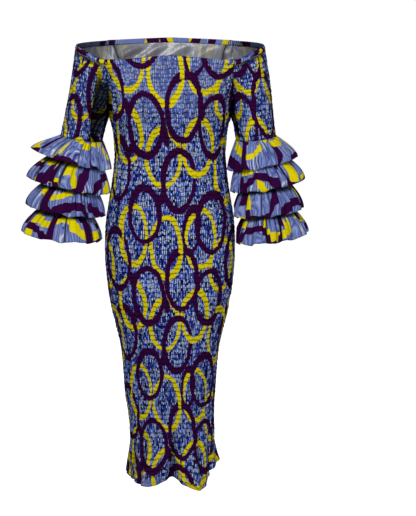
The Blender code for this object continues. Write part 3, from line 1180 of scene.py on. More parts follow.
@dataclass(frozen=True)
class Ground:
    """The hatched blue ground of the print: fine lines, and patches of broader ones."""

    white: Colour = ink(222, 228, 250)
    pale: Colour = ink(156, 174, 234)
    middle: Colour = ink(124, 141, 206)
    deep: Colour = ink(80, 94, 168)
    dark: Colour = ink(44, 48, 124)
    pitch: float = 0.0034
    broader: float = 0.57
    sway: float = 0.007
    sway_scale: float = 26.0
    patch_scale: float = 14.0
    patch_least: float = 0.60
    patch_edge: float = 14.0

    def group(self) -> bpy.types.NodeTree:
        """Wavering lines in blues.

        Returns:
            The group's tree.
        """
        group = Group("Hatched ground", {"Place": "Vector"}, {"Color": "Color"})
        place = group.take("Place")
        sway = (group.noise(place, self.sway_scale) - 0.5) * self.sway
        phase = (place.parts()[0] + sway) * (math.tau / self.pitch)
        fine = group.ramp(self.wave(phase), {0.0: self.deep, 0.32: self.middle,
                                             0.72: self.middle, 1.0: self.pale})
        broad = group.ramp(self.wave(phase * self.broader), {
            0.0: self.dark, 0.3: self.middle, 0.7: self.middle, 1.0: self.white})
        patch = group.noise(place, self.patch_scale) - self.patch_least
        return group.close(Color=group.blend((patch * self.patch_edge).held(), fine, broad))

    def wave(self, phase: Wire) -> Wire:
        """A line's shade across it, from 0 to 1."""
        return phase.of("SINE") * 0.5 + 0.5


@dataclass(frozen=True)
class Shirring:
    """The look of cotton puckered on rows of elastic thread, with painted highlights and shade;
    lengths are in puckers and rows.
    """

    # The strokes' colours stand for the print's blues and whites, and for painted highlights on the
    # ridges and painted shade in the valleys.
    navy: Colour = ink(5, 5, 66)
    middle: Colour = ink(46, 66, 190)
    light: Colour = ink(124, 154, 255)
    white: Colour = ink(216, 234, 255)
    # Strength of the painted shade along the rows of elastic.
    row: float = 0.95
    strokes_to_a_pucker: float = 2.4
    rows_to_a_stroke: float = 0.60
    sway_scale: float = 0.35
    stroke_sway: float = 0.8
    row_sway: float = 0.9
    drift_scale: float = 0.13
    drift: float = 0.45
    turn_about: float = 0.50
    # How strokes end in navy painted shade, and the shape of the rows' painted shade lines and
    # their breaks.
    end: Line = Line(6.0, -2.2)
    end_chance: Line = Line(1.4, -0.3)
    row_line: Line = Line(-9.0, 1.55)
    broken: Line = Line(5.0, -1.2)
    broken_length: float = 0.3

    def group(self) -> bpy.types.NodeTree:
        """Short upright strokes of the print's hatch with painted highlights and shade of the
        puckers, the painted shade lines of the rows, and a chance for each stroke.

        Returns:
            The group's tree.
        """
        group = Group("Shirring", {"Pucker": "Vector"}, {
            "Strokes": "Color", "Line": "Float", "Ridge": "Float", "Chance": "Color"})
        pucker = group.take("Pucker")
        x, y, _ = pucker.parts()
        bend = group.noise(pucker, self.sway_scale).output("Color")
        sway_x, sway_y, _ = bend.parts()
        x = ((sway_x - 0.5) * self.stroke_sway + x) * self.strokes_to_a_pucker
        column = x.of("FLOOR")
        start = group.add("ShaderNodeTexWhiteNoise", {"W": column}, noise_dimensions="1D")
        cell_y = y / self.rows_to_a_stroke + start
        cell = group.add("ShaderNodeTexWhiteNoise",
                         {"Vector": group.join(column, cell_y.of("FLOOR"))},
                         noise_dimensions="2D")
        drift = (group.noise(pucker, self.drift_scale) - 0.5) * self.drift
        # Every other column leans darker or lighter: painted shade in the valleys, painted
        # highlights on the ridges.
        turn = (column.of("PINGPONG", 1.0) - 0.5) * self.turn_about
        strokes = group.ramp(turn + (cell + drift), {
            0.32: self.navy, 0.40: self.middle, 0.54: self.middle,
            0.62: self.light, 0.78: self.light, 0.87: self.white})
        chance = cell.output("Color")
        # Many strokes end in navy: painted shade in the gaps between strokes.
        end = self.end.over(abs(cell_y.of("FRACT") - 0.5))
        end = end * self.end_chance.over(chance.parts()[0])
        # Wavy painted shade lines along the rows of elastic, broken here and there.
        wavy = (sway_y - 0.5) * self.row_sway + y
        line = self.row_line.over(wavy.of("PINGPONG", 0.5))
        broken = self.broken.over(group.noise(group.join(x * self.broken_length, y), 1.0))
        return group.close(Strokes=group.blend(end, strokes, self.navy),
                           Line=line * broken * self.row,
                           Ridge=1.0 - abs(x.of("FRACT") - 0.5) * 2.0, Chance=chance)


def weave_group() -> bpy.types.NodeTree:
    """Plain weave of fine cotton, as a height and a small change of colour.

    Returns:
        The group's tree.
    """
    group = Group("Cotton weave", {"Place": "Vector", "Threads": "Float"},
                  {"Height": "Float", "Fleck": "Float"})
    place = group.take("Place")
    x, y, _ = (place * group.take("Threads")).parts()
    return group.close(Height=(x * math.tau).of("SINE") * (y * math.tau).of("SINE"),
                       Fleck=group.noise(place, 240.0, 3.0))


@dataclass(frozen=True)
class Surface:
    """What sets one side of the cloth off from another, under its colours."""

    roughness: float
    bump: float
    bump_height: float
    fleck: float = 0.0
    fleck_least: float = 1.0


# SHIRRED's flecks average about a tenth darker than PLAIN's, a painted shade over the puckered
# cloth on top of their random tone.
SHIRRED = Surface(0.80, 0.35, 0.0006, 0.46, 0.66)
PLAIN = Surface(0.80, 0.35, 0.0006, 0.30, 0.85)
WRONG = Surface(0.31, 0.15, 0.0003)


class Finishes:
    """The cloth's finishes, made once and shared by the pieces."""

    threads = 2600.0
    jog = (0.0040, 0.0030, 0.0)
    specular = 0.06
    # How strong the painted shade of folds, seams and corners is.
    shade_strength = 0.95
    ridge = 1.6
    # The painted shade along the rows: how tightness strengthens it, how dark it is, and how much
    # less it is on the figure.
    tight = 1.6
    row_shade = 0.84
    row_less_on_figure = 0.08
    greys = (ink(150, 152, 162), ink(150, 152, 164))
    show_through = 0.20

    def __init__(self) -> None:
        """Builds the shared groups and the materials."""
        self.figure = WaxPrint().figure_group()
        self.ground = Ground().group()
        self.shirring = Shirring().group()
        self.weave = weave_group()
        self.shirred = self.right_side("Shirred wax print", SHIRRED)
        self.plain = self.right_side("Flat wax print", PLAIN)
        self.wrong = self.wrong_side("Wrong side of the print")

    def finish(self, name: str, sketch: NodeSketch, surface: Surface, colour: Wire,
               height: Wire, specular: object) -> bpy.types.Material:
        """Feeds a material's main shader.

        Args:
            name: The material's name.
            sketch: The sketch on its nodes.
            surface: How rough and how bumpy it is.
            colour: Its colour.
            height: What its bump follows.
            specular: How much it shines.

        Returns:
            The material.
        """
        shader = sketch.tree.nodes["Principled BSDF"]
        bump = sketch.add("ShaderNodeBump", {"Strength": surface.bump, "Height": height,
                                             "Distance": surface.bump_height})
        for label, value in (("Base Color", colour), ("Roughness", surface.roughness),
                             ("Specular IOR Level", specular), ("Normal", bump)):
            feed(shader.inputs[label], value)
        return bpy.data.materials[name]

    def start(self, name: str) -> NodeSketch:
        """Makes a new material and starts a sketch on it.

        Args:
            name: The material's name.

        Returns:
            The sketch.
        """
        material = bpy.data.materials.new(name)
        material.use_nodes = True
        return NodeSketch(material.node_tree)

    def right_side(self, name: str, surface: Surface) -> bpy.types.Material:
        """The printed side of the cloth, with painted shade multiplied into its colour.

        Args:
            name: The finish's name.
            surface: SHIRRED where the cloth is puckered on elastic, or PLAIN.

        Returns:
            The material.
        """
        sketch = self.start(name)
        place = sketch.uv("Cut")
        ground = sketch.use(self.ground, Place=place)
        weave = sketch.use(self.weave, Place=place, Threads=self.threads)
        # The first value of this map is painted shade in folds, seams, corners and creases; the
        # second is how tightly the elastic draws the cloth.
        depth, drawn, _ = sketch.uv("Hollow").parts()
        shade = 1.0 - depth * self.shade_strength
        height = weave.output("Height")
        if surface is SHIRRED:
            # Where the elastic draws the cloth, the ground becomes strokes with painted highlights
            # and shade.
            strokes = sketch.use(self.shirring, Pucker=sketch.uv("Shirring"))
            ground = sketch.blend(drawn, ground, strokes)
            place = (strokes.output("Chance") - HALF) * self.jog + place
            height = strokes.output("Ridge") * self.ridge - strokes.output("Line")
        figure = sketch.use(self.figure, Place=place, Ground=ground)
        if surface is SHIRRED:
            # Painted shade along the rows of elastic, a little less on the figure.
            less = figure.output("Figure") * -self.row_less_on_figure
            line = strokes.output("Line") * (less + self.row_shade)
            shade = shade * (1.0 - line * (drawn * self.tight).held())
        # Random flecks of tone, which on the shirred cloth also lay a painted shade over it.
        shade = shade * (weave.output("Fleck") * surface.fleck + surface.fleck_least)
        return self.finish(name, sketch, surface, figure * shade, height, self.specular)

    def wrong_side(self, name: str) -> bpy.types.Material:
        """The unprinted back of the cloth, with the figure showing faintly through and painted
        shade that also dims its shine.

        Args:
            name: The finish's name.

        Returns:
            The material.
        """
        sketch = self.start(name)
        place = sketch.uv("Cut")
        figure = sketch.use(self.figure, Place=place, Ground=self.greys[1])
        colour = sketch.blend(self.show_through, self.greys[0], figure)
        # Painted shade on the wrong side, which dims its colour and its shine.
        lit = 1.0 - sketch.uv("Lining").parts()[0]
        weave = sketch.use(self.weave, Place=place, Threads=self.threads)
        return self.finish(name, sketch, WRONG, colour * lit, weave, lit)


# ------------------------------------------------------------------ the pieces
@dataclass
class ShirredCloth:
    """What the trunk panels and the sleeves share: rows of elastic and their puckers."""

    row_pitch: float = 0.012
    billow: float = 0.0011
    pucker: float = 0.0013
    wall: float = 0.0010
    top_ease: Ease = Ease(0.0, 0.006)
    uneven: tuple[float, float] = (0.35, 1.5)
    uneven_rise: tuple[float, float] = (0.6, 1.25)
    turned_over: float = 0.18
    rows_together: int = 4
    on_row: float = 0.75
    puckers_apart: float = 40.0
    # Painted shade beside the armhole seam, and where it is weaker because light falls there.
    arm_across: Ease = Ease(90.0, 6.0)
    arm_width: float = 0.010
    arm_least: float = 0.35
    arm_more: float = 0.60
    arm_down: Ease = Ease(-0.060, -0.060)
    lit_from: Ease = Ease(0.0, 30.0)
    lit_share: float = 0.45
    lit_drop: float = 0.0
    seed: int = 7

    def relief(self, shirred: Array) -> Array:
        """How far each point stands off the form.

        Args:
            shirred: 1 where the cloth is shirred, 0 where it is free. It has two rows of
                points to a row of elastic and two columns to a pucker.

        Returns:
            The relief in metres.
        """
        rows, columns = shirred.shape
        chance = np.random.default_rng(self.seed)
        odd_row = (np.arange(rows) % 2)[:, None]
        odd_column = (np.arange(columns) % 2)[None, :] * 2.0 - 1.0
        uneven = chance.uniform(*self.uneven, (rows, columns))
        groups = (rows + self.rows_together - 1) // self.rows_together
        turned = chance.uniform(0, 1, (groups, columns)) < self.turned_over
        sign = np.repeat(np.where(turned, -1.0, 1.0), self.rows_together, axis=0)[:rows]
        strength = np.where(odd_row == 1, self.on_row, 1.0)
        puckers = self.pucker * odd_column * sign * uneven * strength
        rise = self.billow * odd_row * chance.uniform(*self.uneven_rise, (rows, columns))
        return (puckers + rise) * shirred

    def pucker_map(self, level: Array, columns: int) -> Array:
        """The pucker and the row of elastic that each point is on.

        Args:
            level: Level of each row of points.
            columns: Columns of points.

        Returns:
            The values of a UV map.
        """
        row, column = np.meshgrid(-level / self.row_pitch, np.arange(columns) / 2.0,
                                  indexing="ij")
        return pair(column + self.seed * self.puckers_apart, row)

    def arm_shade(self, degrees: Array, height: Array, top: Array, lit: bool) -> Array:
        """Painted shade beside the armhole seam.

        Args:
            degrees: Degrees across or round the piece.
            height: Height of each point.
            top: Height of the top of each column.
            lit: Whether the painted shade is weaker at the front of the right side, where light
                falls.

        Returns:
            The painted shade, from 0 to 1.
        """
        lighter = self.lit_from.at(degrees) * lit
        down = self.arm_down.at(height + self.lit_drop * lighter)
        dark = self.arm_across.at(np.abs(degrees)) * bell((top - height) / self.arm_width)
        dark = dark * (self.arm_least + self.arm_more * down)
        return dark * (1.0 - self.lit_share * lighter)


def even_degrees(panel: Panel, columns: int) -> Array:
    """Degrees across a trunk panel that stand evenly along the cloth at the hip.

    Args:
        panel: Which panel.
        columns: How many places.

    Returns:
        The places, from -90 to 90.
    """
    dense = np.linspace(-90.0, 90.0, 721)
    along = lengths_along(FORM.trunk_section(panel, dense, np.full_like(dense, HIP_LEVEL)))
    return np.interp(np.linspace(0.0, along[-1], columns), along, dense)


@dataclass
class TrunkPanel(ShirredCloth):
    """The front or the back of the dress."""

    panel: Panel = Panel.FRONT
    puckers: int = 76
    frill_rows: int = 14
    print_start: float = 0.305
    back_print_start: float = 0.495
    flat: tuple[float, float] = (0.68, 1.16)
    area: float = 0.62
    shirred_from: Ease = Ease(FORM.frill_start - 0.012, 0.012)
    side_ease: Ease = Ease(90.0, -4.0)
    fold_ease: Ease = Ease(0.010, 0.012)
    frill_reach: float = 0.09
    frill_waves: tuple[Wave, ...] = (Wave(23, 1, 0.0028), Wave(37, 0, 0.00168))
    back_calm: float = 0.30
    back_calm_ends: Ease = Ease(-0.060, -0.030)
    # Painted shade along the side seams.
    side_seam: Stripe = Stripe(0.55, 90.0, 1.6)
    arm_across: Ease = Ease(FORM.armhole_corner, 6.0)
    lit_drop: float = 0.035
    hem_slack: float = 0.135
    hem_waver: float = 0.024
    drawn_ease: float = 0.030
    chest_drawn: float = 0.52
    more_drawn: float = 0.46
    under_chest: Ease = Ease(-0.115, -0.10)
    beside_chest: Ease = Ease(40.0, 25.0)
    # Painted shade on the wrong side: a fold by each armhole seam, the sides and far down inside.
    inside_seam_shade: Stripe = Stripe(0.8, 50.5, 1.1)
    inside_side_shade: float = 0.30
    inside_sides: Ease = Ease(20.0, 36.0)
    inside_shade_down: Ease = Ease(-0.06, -0.25)

    def build(self, finishes: Finishes) -> bpy.types.Object:
        """Makes the panel, dresses it and declares its cloth.

        Args:
            finishes: The cloth's finishes.

        Returns:
            The panel.
        """
        columns = self.puckers * 2 + 1
        shirred_rows = int(round(-FORM.frill_start / self.row_pitch)) * 2
        level = np.concatenate([
            np.linspace(0.0, FORM.frill_start, shirred_rows + 1),
            np.linspace(FORM.frill_start, FORM.hem_level, self.frill_rows + 1)[1:]])
        across, level_grid = np.meshgrid(even_degrees(self.panel, columns), level)
        points = FORM.trunk_cloth(self.panel, across, level_grid)
        height = points[..., 2]
        top = FORM.trunk_top(self.panel, across)[..., 2]
        out = points * (1.0, 1.0, 0.0)
        points = points + grid_normals(points, out) * self.stand(across, height, top)[..., None]
        way = self.panel.value
        points[..., 1] = way * np.maximum(way * points[..., 1], 0.0)
        # The third map holds painted shade and the elastic's tightness, the fourth the wrong side's
        # painted shade.
        maps = {"Cut": self.cut(across, height),
                "Shirring": self.pucker_map(level, columns),
                "Hollow": pair(self.hollow(across, height, top), self.drawn(across, height)),
                "Lining": pair(self.lining(across, height))}
        piece = cloth_shell(self.panel.word + "_cloth", points, maps, self.wall, out,
                            [finishes.shirred, finishes.wrong])
        return declare(piece, self.panel.word)

    def stand(self, across: Array, height: Array, top: Array) -> Array:
        """How far the puckers, folds and frill stand off the form, in metres.

        Args:
            across: Degrees across the panel.
            height: Height of each point.
            top: Height of the top of each column.

        Returns:
            How far each point stands off.
        """
        edge = self.top_ease.at(top - height) * self.side_ease.at(np.abs(across))
        if self.panel is Panel.BACK:
            lively = self.back_calm_ends.at(height)
            edge = edge * (self.back_calm + (1.0 - self.back_calm) * lively)
        folds = fold_depth(TRUNK_FOLDS[self.panel], across, height, FORM.trunk_radius)
        folds = folds * self.fold_ease.at(top - height)
        frill = np.clip((FORM.frill_start - height) / self.frill_reach, 0, 1)
        waves = pile_waves(self.frill_waves, np.radians(across), self.seed)
        return self.relief(self.shirred_from.at(height) * edge) - folds + frill * waves * edge

    def hollow(self, across: Array, height: Array, top: Array) -> Array:
        """Painted shade in the folds' troughs, along the side seams and beside the armhole seams.

        Args:
            across: Degrees across the panel.
            height: Height of each point.
            top: Height of the top of each column.

        Returns:
            The painted shade, from 0 to 1.
        """
        folds = fold_shade(TRUNK_FOLDS[self.panel], across, height, FORM.trunk_radius)
        seam = self.side_seam.at(np.abs(across))
        arm = self.arm_shade(across, height, top, self.panel is Panel.FRONT)
        return np.clip(folds + seam + arm, 0, 1)

    def drawn(self, across: Array, height: Array) -> Array:
        """How tightly the elastic draws the cloth: less over the chest, not at all at the hem.

        Args:
            across: Degrees across the panel.
            height: Height of each point.

        Returns:
            The tightness, from 0 to 1.
        """
        slack = self.hem_slack + self.hem_waver * np.sin(np.radians(across) * 3.0 - 0.6)
        drawn = smooth_step((height - FORM.frill_start + slack) / self.drawn_ease)
        more = np.maximum(self.under_chest.at(height), self.beside_chest.at(np.abs(across)))
        return drawn * (self.chest_drawn + self.more_drawn * more)

    def lining(self, across: Array, height: Array) -> Array:
        """Painted shade on the wrong side, in the folds by the seams, towards the sides and far
        down inside.

        Args:
            across: Degrees across the panel.
            height: Height of each point.

        Returns:
            The painted shade, from 0 to 1.
        """
        aside = np.abs(across)
        dark = self.inside_seam_shade.at(aside) + self.inside_side_shade * self.inside_sides.at(aside)
        return np.clip(dark + self.inside_shade_down.at(height), 0.0, DARKEST_INSIDE_SHADE)

    def cut(self, across: Array, height: Array) -> Array:
        """Where each point lies on the flat cloth, in metres.

        Args:
            across: Degrees across the panel.
            height: Height of each point.

        Returns:
            The values of a UV map.
        """
        base = FORM.trunk_section(self.panel, across, np.minimum(height, -0.02))
        along = np.stack([lengths_along(row) for row in base[..., :2]])
        along -= along[:, [along.shape[1] // 2]]
        along *= read_table(GATHERS, "across", height)
        if self.panel is Panel.BACK:
            return pair(self.back_print_start - along, flat_height(height))
        return pair(self.print_start + along, flat_height(height))


@dataclass
class Sleeve(ShirredCloth):
    """One shirred sleeve, down to the seam of its lowest ruffle."""

    side: Side = Side.LEFT
    puckers: int = 60
    end: float = -0.402
    girth: float = 0.36
    gather: float = 1.9
    edge_print: float = 0.119
    print_start: float = 0.994
    flat: tuple[float, float] = (0.66, 0.42)
    area: float = 0.205
    ridge: Stripe = Stripe(0.0045, -0.007, 0.006)
    crease: Stripe = Stripe(0.0030, -0.018, 0.004)
    crease_shade: Stripe = Stripe(0.85, -0.018, 0.0035)
    turned_from: Ease = Ease(8.0, 25.0)
    turned_to: Ease = Ease(118.0, -12.0)
    turned_down: Ease = Ease(-0.0165, 0.002)
    edge_slope: float = 0.6
    drawn: float = 0.90
    turned_slack: float = 0.35
    under_ruffles: float = 0.6
    arm_across: Ease = Ease(FORM.sleeve_corner, 8.0)
    arm_width: float = 0.014
    arm_more: float = 0.65
    # Painted shade in the crumpled cloth by the underarm.
    underarm_shade: float = 0.78
    underarm_start: float = 140.0
    left_underarm_start: float = 85.0
    left_underarm_lean: float = -190.0
    underarm_across: Ease = Ease(0.0, 14.0)
    underarm_from: Ease = Ease(-0.070, -0.035)
    underarm_to: Ease = Ease(-0.245, 0.045)
    # Painted shade on the wrong side, at the outer side and far down inside.
    inside_outer_shade: Stripe = Stripe(0.80, 0.0, 88.0)
    inside_shade_down: Ease = Ease(-0.04, -0.2)

    def build(self, finishes: Finishes) -> bpy.types.Object:
        """Makes the sleeve, dresses it and declares its cloth.

        Args:
            finishes: The cloth's finishes.

        Returns:
            The sleeve.
        """
        columns = self.puckers * 2 + 1
        rows = int(round(-self.end / self.row_pitch)) * 2 + 1
        degrees, level = np.meshgrid(np.linspace(180.0, -180.0, columns),
                                     np.linspace(0.0, self.end, rows))
        points = FORM.sleeve_cloth(self.side, degrees, level)
        height = points[..., 2]
        top = FORM.sleeve_top(self.side, degrees)[..., 2]
        out = outward(self.side, degrees)
        normal = grid_normals(points, out)
        normal[:, -1] = normal[:, 0]
        edge = self.top_ease.at(top - height)
        relief = self.relief(edge)
        relief[:, -1] = relief[:, 0]
        seen = Ease(TIERS[self.side][0].seam, 0.010).at(height)
        folds = fold_depth(SLEEVE_FOLDS[self.side], degrees, height, FORM.sleeve_radius)
        stand = relief * (self.under_ruffles + (1.0 - self.under_ruffles) * seen)
        stand = stand + self.roll(degrees, level) - folds * edge * seen
        turned = self.turned_edge(degrees) * self.turned_down.at(level)
        y = flat_height(height)
        edge_y = self.edge_print + (level - self.ridge.middle) * self.edge_slope
        y = y + turned * (edge_y - y)
        # The third map holds painted shade and the elastic's tightness, the fourth the wrong side's
        # painted shade.
        maps = {"Cut": pair(degrees / 360.0 * self.girth * self.gather + self.print_start, y),
                "Shirring": self.pucker_map(level[:, 0], columns),
                "Hollow": pair(self.hollow(degrees, height, level, top),
                               self.drawn - self.turned_slack * turned),
                "Lining": pair(self.lining(degrees, height))}
        name = "sleeve_" + self.side.word
        piece = cloth_shell(name + "_cloth", points + normal * stand[..., None], maps, self.wall,
                            out, [finishes.shirred, finishes.wrong])
        return declare(piece, name)

    def hollow(self, degrees: Array, height: Array, level: Array, top: Array) -> Array:
        """Painted shade in the folds' troughs, beside the armhole seam, in the crease under the
        turned edge and by the underarm.

        Args:
            degrees: Degrees round the sleeve.
            height: Height of each point.
            level: Level of each point below the edge.
            top: Height of the top of each column.

        Returns:
            The painted shade, from 0 to 1.
        """
        folds = fold_shade(SLEEVE_FOLDS[self.side], degrees, height, FORM.sleeve_radius)
        arm = self.arm_shade(degrees, height, top, self.side is Side.RIGHT)
        roll = self.turned_edge(degrees) * self.crease_shade.at(level)
        return np.clip(folds + arm + roll + self.underarm(degrees, height), 0, 1)

    def underarm(self, degrees: Array, height: Array) -> Array:
        """Painted shade in the crumpled cloth between the valley and the trunk.

        Args:
            degrees: Degrees round the sleeve.
            height: Height of each point.

        Returns:
            The painted shade, from 0 to 1.
        """
        start = self.underarm_start
        if self.side is Side.LEFT:
            start = self.left_underarm_start + self.left_underarm_lean * height
        across = self.underarm_across.at(np.abs(degrees) - start)
        down = self.underarm_from.at(height) * self.underarm_to.at(height)
        return self.underarm_shade * across * down

    def lining(self, degrees: Array, height: Array) -> Array:
        """Painted shade on the wrong side, at the outer side and far down inside.

        Args:
            degrees: Degrees round the sleeve.
            height: Height of each point.

        Returns:
            The painted shade, from 0 to 1.
        """
        dark = self.inside_outer_shade.at(degrees) + self.inside_shade_down.at(height)
        return np.clip(dark, 0.0, DARKEST_INSIDE_SHADE)

    def turned_edge(self, degrees: Array) -> Array:
        """1 along the front half of the sleeve's top, where its edge is turned over."""
        return self.turned_from.at(degrees) * self.turned_to.at(degrees)

    def roll(self, degrees: Array, level: Array) -> Array:
        """The turned edge, which stands up, and the crease below it.

        Args:
            degrees: Degrees round the sleeve.
            level: Level of each point below the edge.

        Returns:
            How far each point stands off, in metres.
        """
        return self.turned_edge(degrees) * (self.ridge.at(level) - self.crease.at(level))


class Pleat(NamedTuple):
    """One gather of a ruffle: place in degrees, half width, depth, and reach down the tier."""

    at: float
    width: float
    depth: float
    reach: float


@dataclass
class Ruffle:
    """One gathered tier of a sleeve."""

    side: Side
    number: int
    wall: float = 0.0009
    columns: int = 420
    rows: int = 16
    gathers: int = 44
    deepest: float = 0.0075
    seam_gap: float = 0.0022
    wave: float = 0.0060
    lift: float = 0.0030
    touch_clearance: float = 0.0045
    fullness: float = 1.06
    row_spread: float = 0.9
    print_shift: float = 3.6
    print_height: float = 0.30
    print_step: float = 0.17
    print_rise: float = 0.23
    left_start: float = 0.11
    first_seed: int = 300
    right_seed: int = 50
    uneven_place: float = 3.6
    pleat_width: tuple[float, float] = (1.0, 2.4)
    pleat_share: tuple[float, float] = (0.15, 1.0)
    pleat_reach: tuple[float, float] = (0.45, 1.40)
    print_reach: float = 16.0
    print_ends: float = 0.55
    seam_share: float = 0.06
    # Painted shade in the gathers' creases: how narrow, the crease depth that is fully shaded, and
    # the most shade.
    crease_narrow: float = 0.55
    crease_depth: float = 0.0032
    darkest_crease: float = 0.95
    # Painted shadow of the tier above, over the top of this one.
    tier_shade: float = 0.94
    under_tier: Ease = Ease(0.335, -0.06)
    # Painted shade on the wrong side, most at the seam.
    inside_shade_least: float = 0.35
    inside_shade_more: float = 0.5
    pleats: tuple[Pleat, ...] = ()

    def __post_init__(self) -> None:
        """Places the gathers unevenly round the seam."""
        seed = self.first_seed + self.number + self.right_seed * (self.side is Side.RIGHT)
        chance = np.random.default_rng(seed)
        places = np.arange(self.gathers) * 360.0 / self.gathers
        places = places + chance.uniform(-self.uneven_place, self.uneven_place, self.gathers)
        self.pleats = tuple(
            Pleat(at, chance.uniform(*self.pleat_width),
                  chance.uniform(*self.pleat_share) ** 1.6 * self.deepest,
                  chance.uniform(*self.pleat_reach)) for at in places)

    def form(self, degrees: Array, share: Array) -> Array:
        """Points of the tier from its seam (share 0) to its hem (share 1).

        Args:
            degrees: Degrees round the sleeve.
            share: 0 at the seam, 1 at the hem.

        Returns:
            The points, with x, y and z on the last axis.
        """
        tier = TIERS[self.side][self.number - 1]
        side = self.side.value
        turn = np.radians(degrees)
        out = outward(self.side, degrees)
        seam = FORM.sleeve_section(self.side, degrees, np.full_like(turn, tier.seam))
        seam = seam + out * (self.wall + self.seam_gap)
        across = tier.half_width * np.cos(turn)
        hem = np.stack([side * (tier.x + across), tier.y - tier.half_depth * np.sin(turn),
                        tier.z + across * math.tan(math.radians(tier.tilt))], axis=-1)
        spread = np.sin(share * math.pi / 2) ** 0.96
        point = seam + (hem - seam) * np.stack([spread, spread, share], axis=-1)
        wave = pile_waves(HEM_WAVES, turn, tier.turn)
        creases = self.creases(degrees, share) * np.clip(share / self.seam_share, 0.0, 1.0)
        point = point + out * (wave * self.wave * share**1.4 - creases)[..., None]
        point[..., 2] += wave * self.lift * share**1.5
        return self.clear_of_trunk(point)

    def creases(self, degrees: Array, share: Array, narrow: float = 1.0) -> Array:
        """How far the gathers sink the cloth, in metres.

        Args:
            degrees: Degrees round the sleeve.
            share: 0 at the seam, 1 at the hem.
            narrow: Width of the creases, over the width of the gathers.

        Returns:
            The depth at each point.
        """
        total = np.zeros_like(share)
        for pleat in self.pleats:
            away = wrap(degrees - pleat.at) / (narrow * pleat.width)
            total += pleat.depth * bell(away) * bell(share / pleat.reach)
        return total

    def hidden_cloth(self, degrees: Array, share: Array) -> Array:
        """How far the gathers shift the print along the strip, in metres.

        Args:
            degrees: Degrees round the sleeve.
            share: 0 at the seam, 1 at the hem.

        Returns:
            The shift at each point.
        """
        shift = np.zeros_like(share)
        for pleat in self.pleats:
            away = wrap(pleat.at - degrees)
            shift += (self.print_shift * pleat.depth * np.tanh(away / (0.5 * pleat.width))
                      * np.exp(-np.abs(away) / self.print_reach))
        return shift * (1.0 - self.print_ends * share)

    def clear_of_trunk(self, point: Array) -> Array:
        """Keeps the tier out of the hip beside it.

        Args:
            point: Points of the tier.

        Returns:
            The same points, moved outwards where they were too near.
        """
        x, y, z = point[..., 0], point[..., 1], point[..., 2]
        depth = np.where(y < 0, read_table(TRUNK, "front", z), read_table(TRUNK, "back", z))
        inside = 1.0 - np.minimum(np.abs(y) / depth, 1.0) ** FORM.roundness
        hip = read_table(TRUNK, "half_width", z) * inside ** (1.0 / FORM.roundness)
        nearest = hip + self.touch_clearance + self.wall
        point[..., 0] = self.side.value * np.maximum(self.side.value * x, nearest)
        return point

    def build(self, finishes: Finishes) -> bpy.types.Object:
        """Makes the tier, dresses it and declares its cloth.

        Args:
            finishes: The cloth's finishes.

        Returns:
            The ruffle.
        """
        degrees, share = np.meshgrid(np.linspace(180.0, -180.0, self.columns + 1),
                                     np.linspace(0.0, 1.0, self.rows + 1) ** self.row_spread)
        points = self.form(degrees, share)
        points[:, -1] = points[:, 0]
        width = lengths_along(points[-1]) * self.fullness
        drop = np.linalg.norm(np.diff(points, axis=0), axis=-1).mean(axis=1)
        down = np.concatenate([[0.0], np.cumsum(drop)])
        x = width + self.hidden_cloth(degrees, share) + self.print_step * self.number
        if self.side is Side.LEFT:
            x = x + self.left_start
        y = self.print_height - down[:, None] + self.print_rise * self.number + 0.0 * share
        # Painted shade in the creases, and the tier above's painted shadow.
        hollow = self.creases(degrees, share, self.crease_narrow) / self.crease_depth
        hollow = np.clip(hollow, 0.0, self.darkest_crease)
        if self.number > 1:
            hollow = np.maximum(hollow, self.tier_shade * self.under_tier.at(share))
        # The last map is the wrong side's painted shade, darker towards the seam.
        maps = {"Cut": pair(x, y), "Hollow": pair(hollow, np.zeros_like(share)),
                "Lining": pair(self.inside_shade_least + self.inside_shade_more * (1.0 - share))}
        name = "ruffle_%s_%d" % (self.side.word, self.number)
        piece = cloth_shell(name + "_cloth", points, maps, self.wall,
                            outward(self.side, degrees), [finishes.plain, finishes.wrong])
        return declare(piece, name)


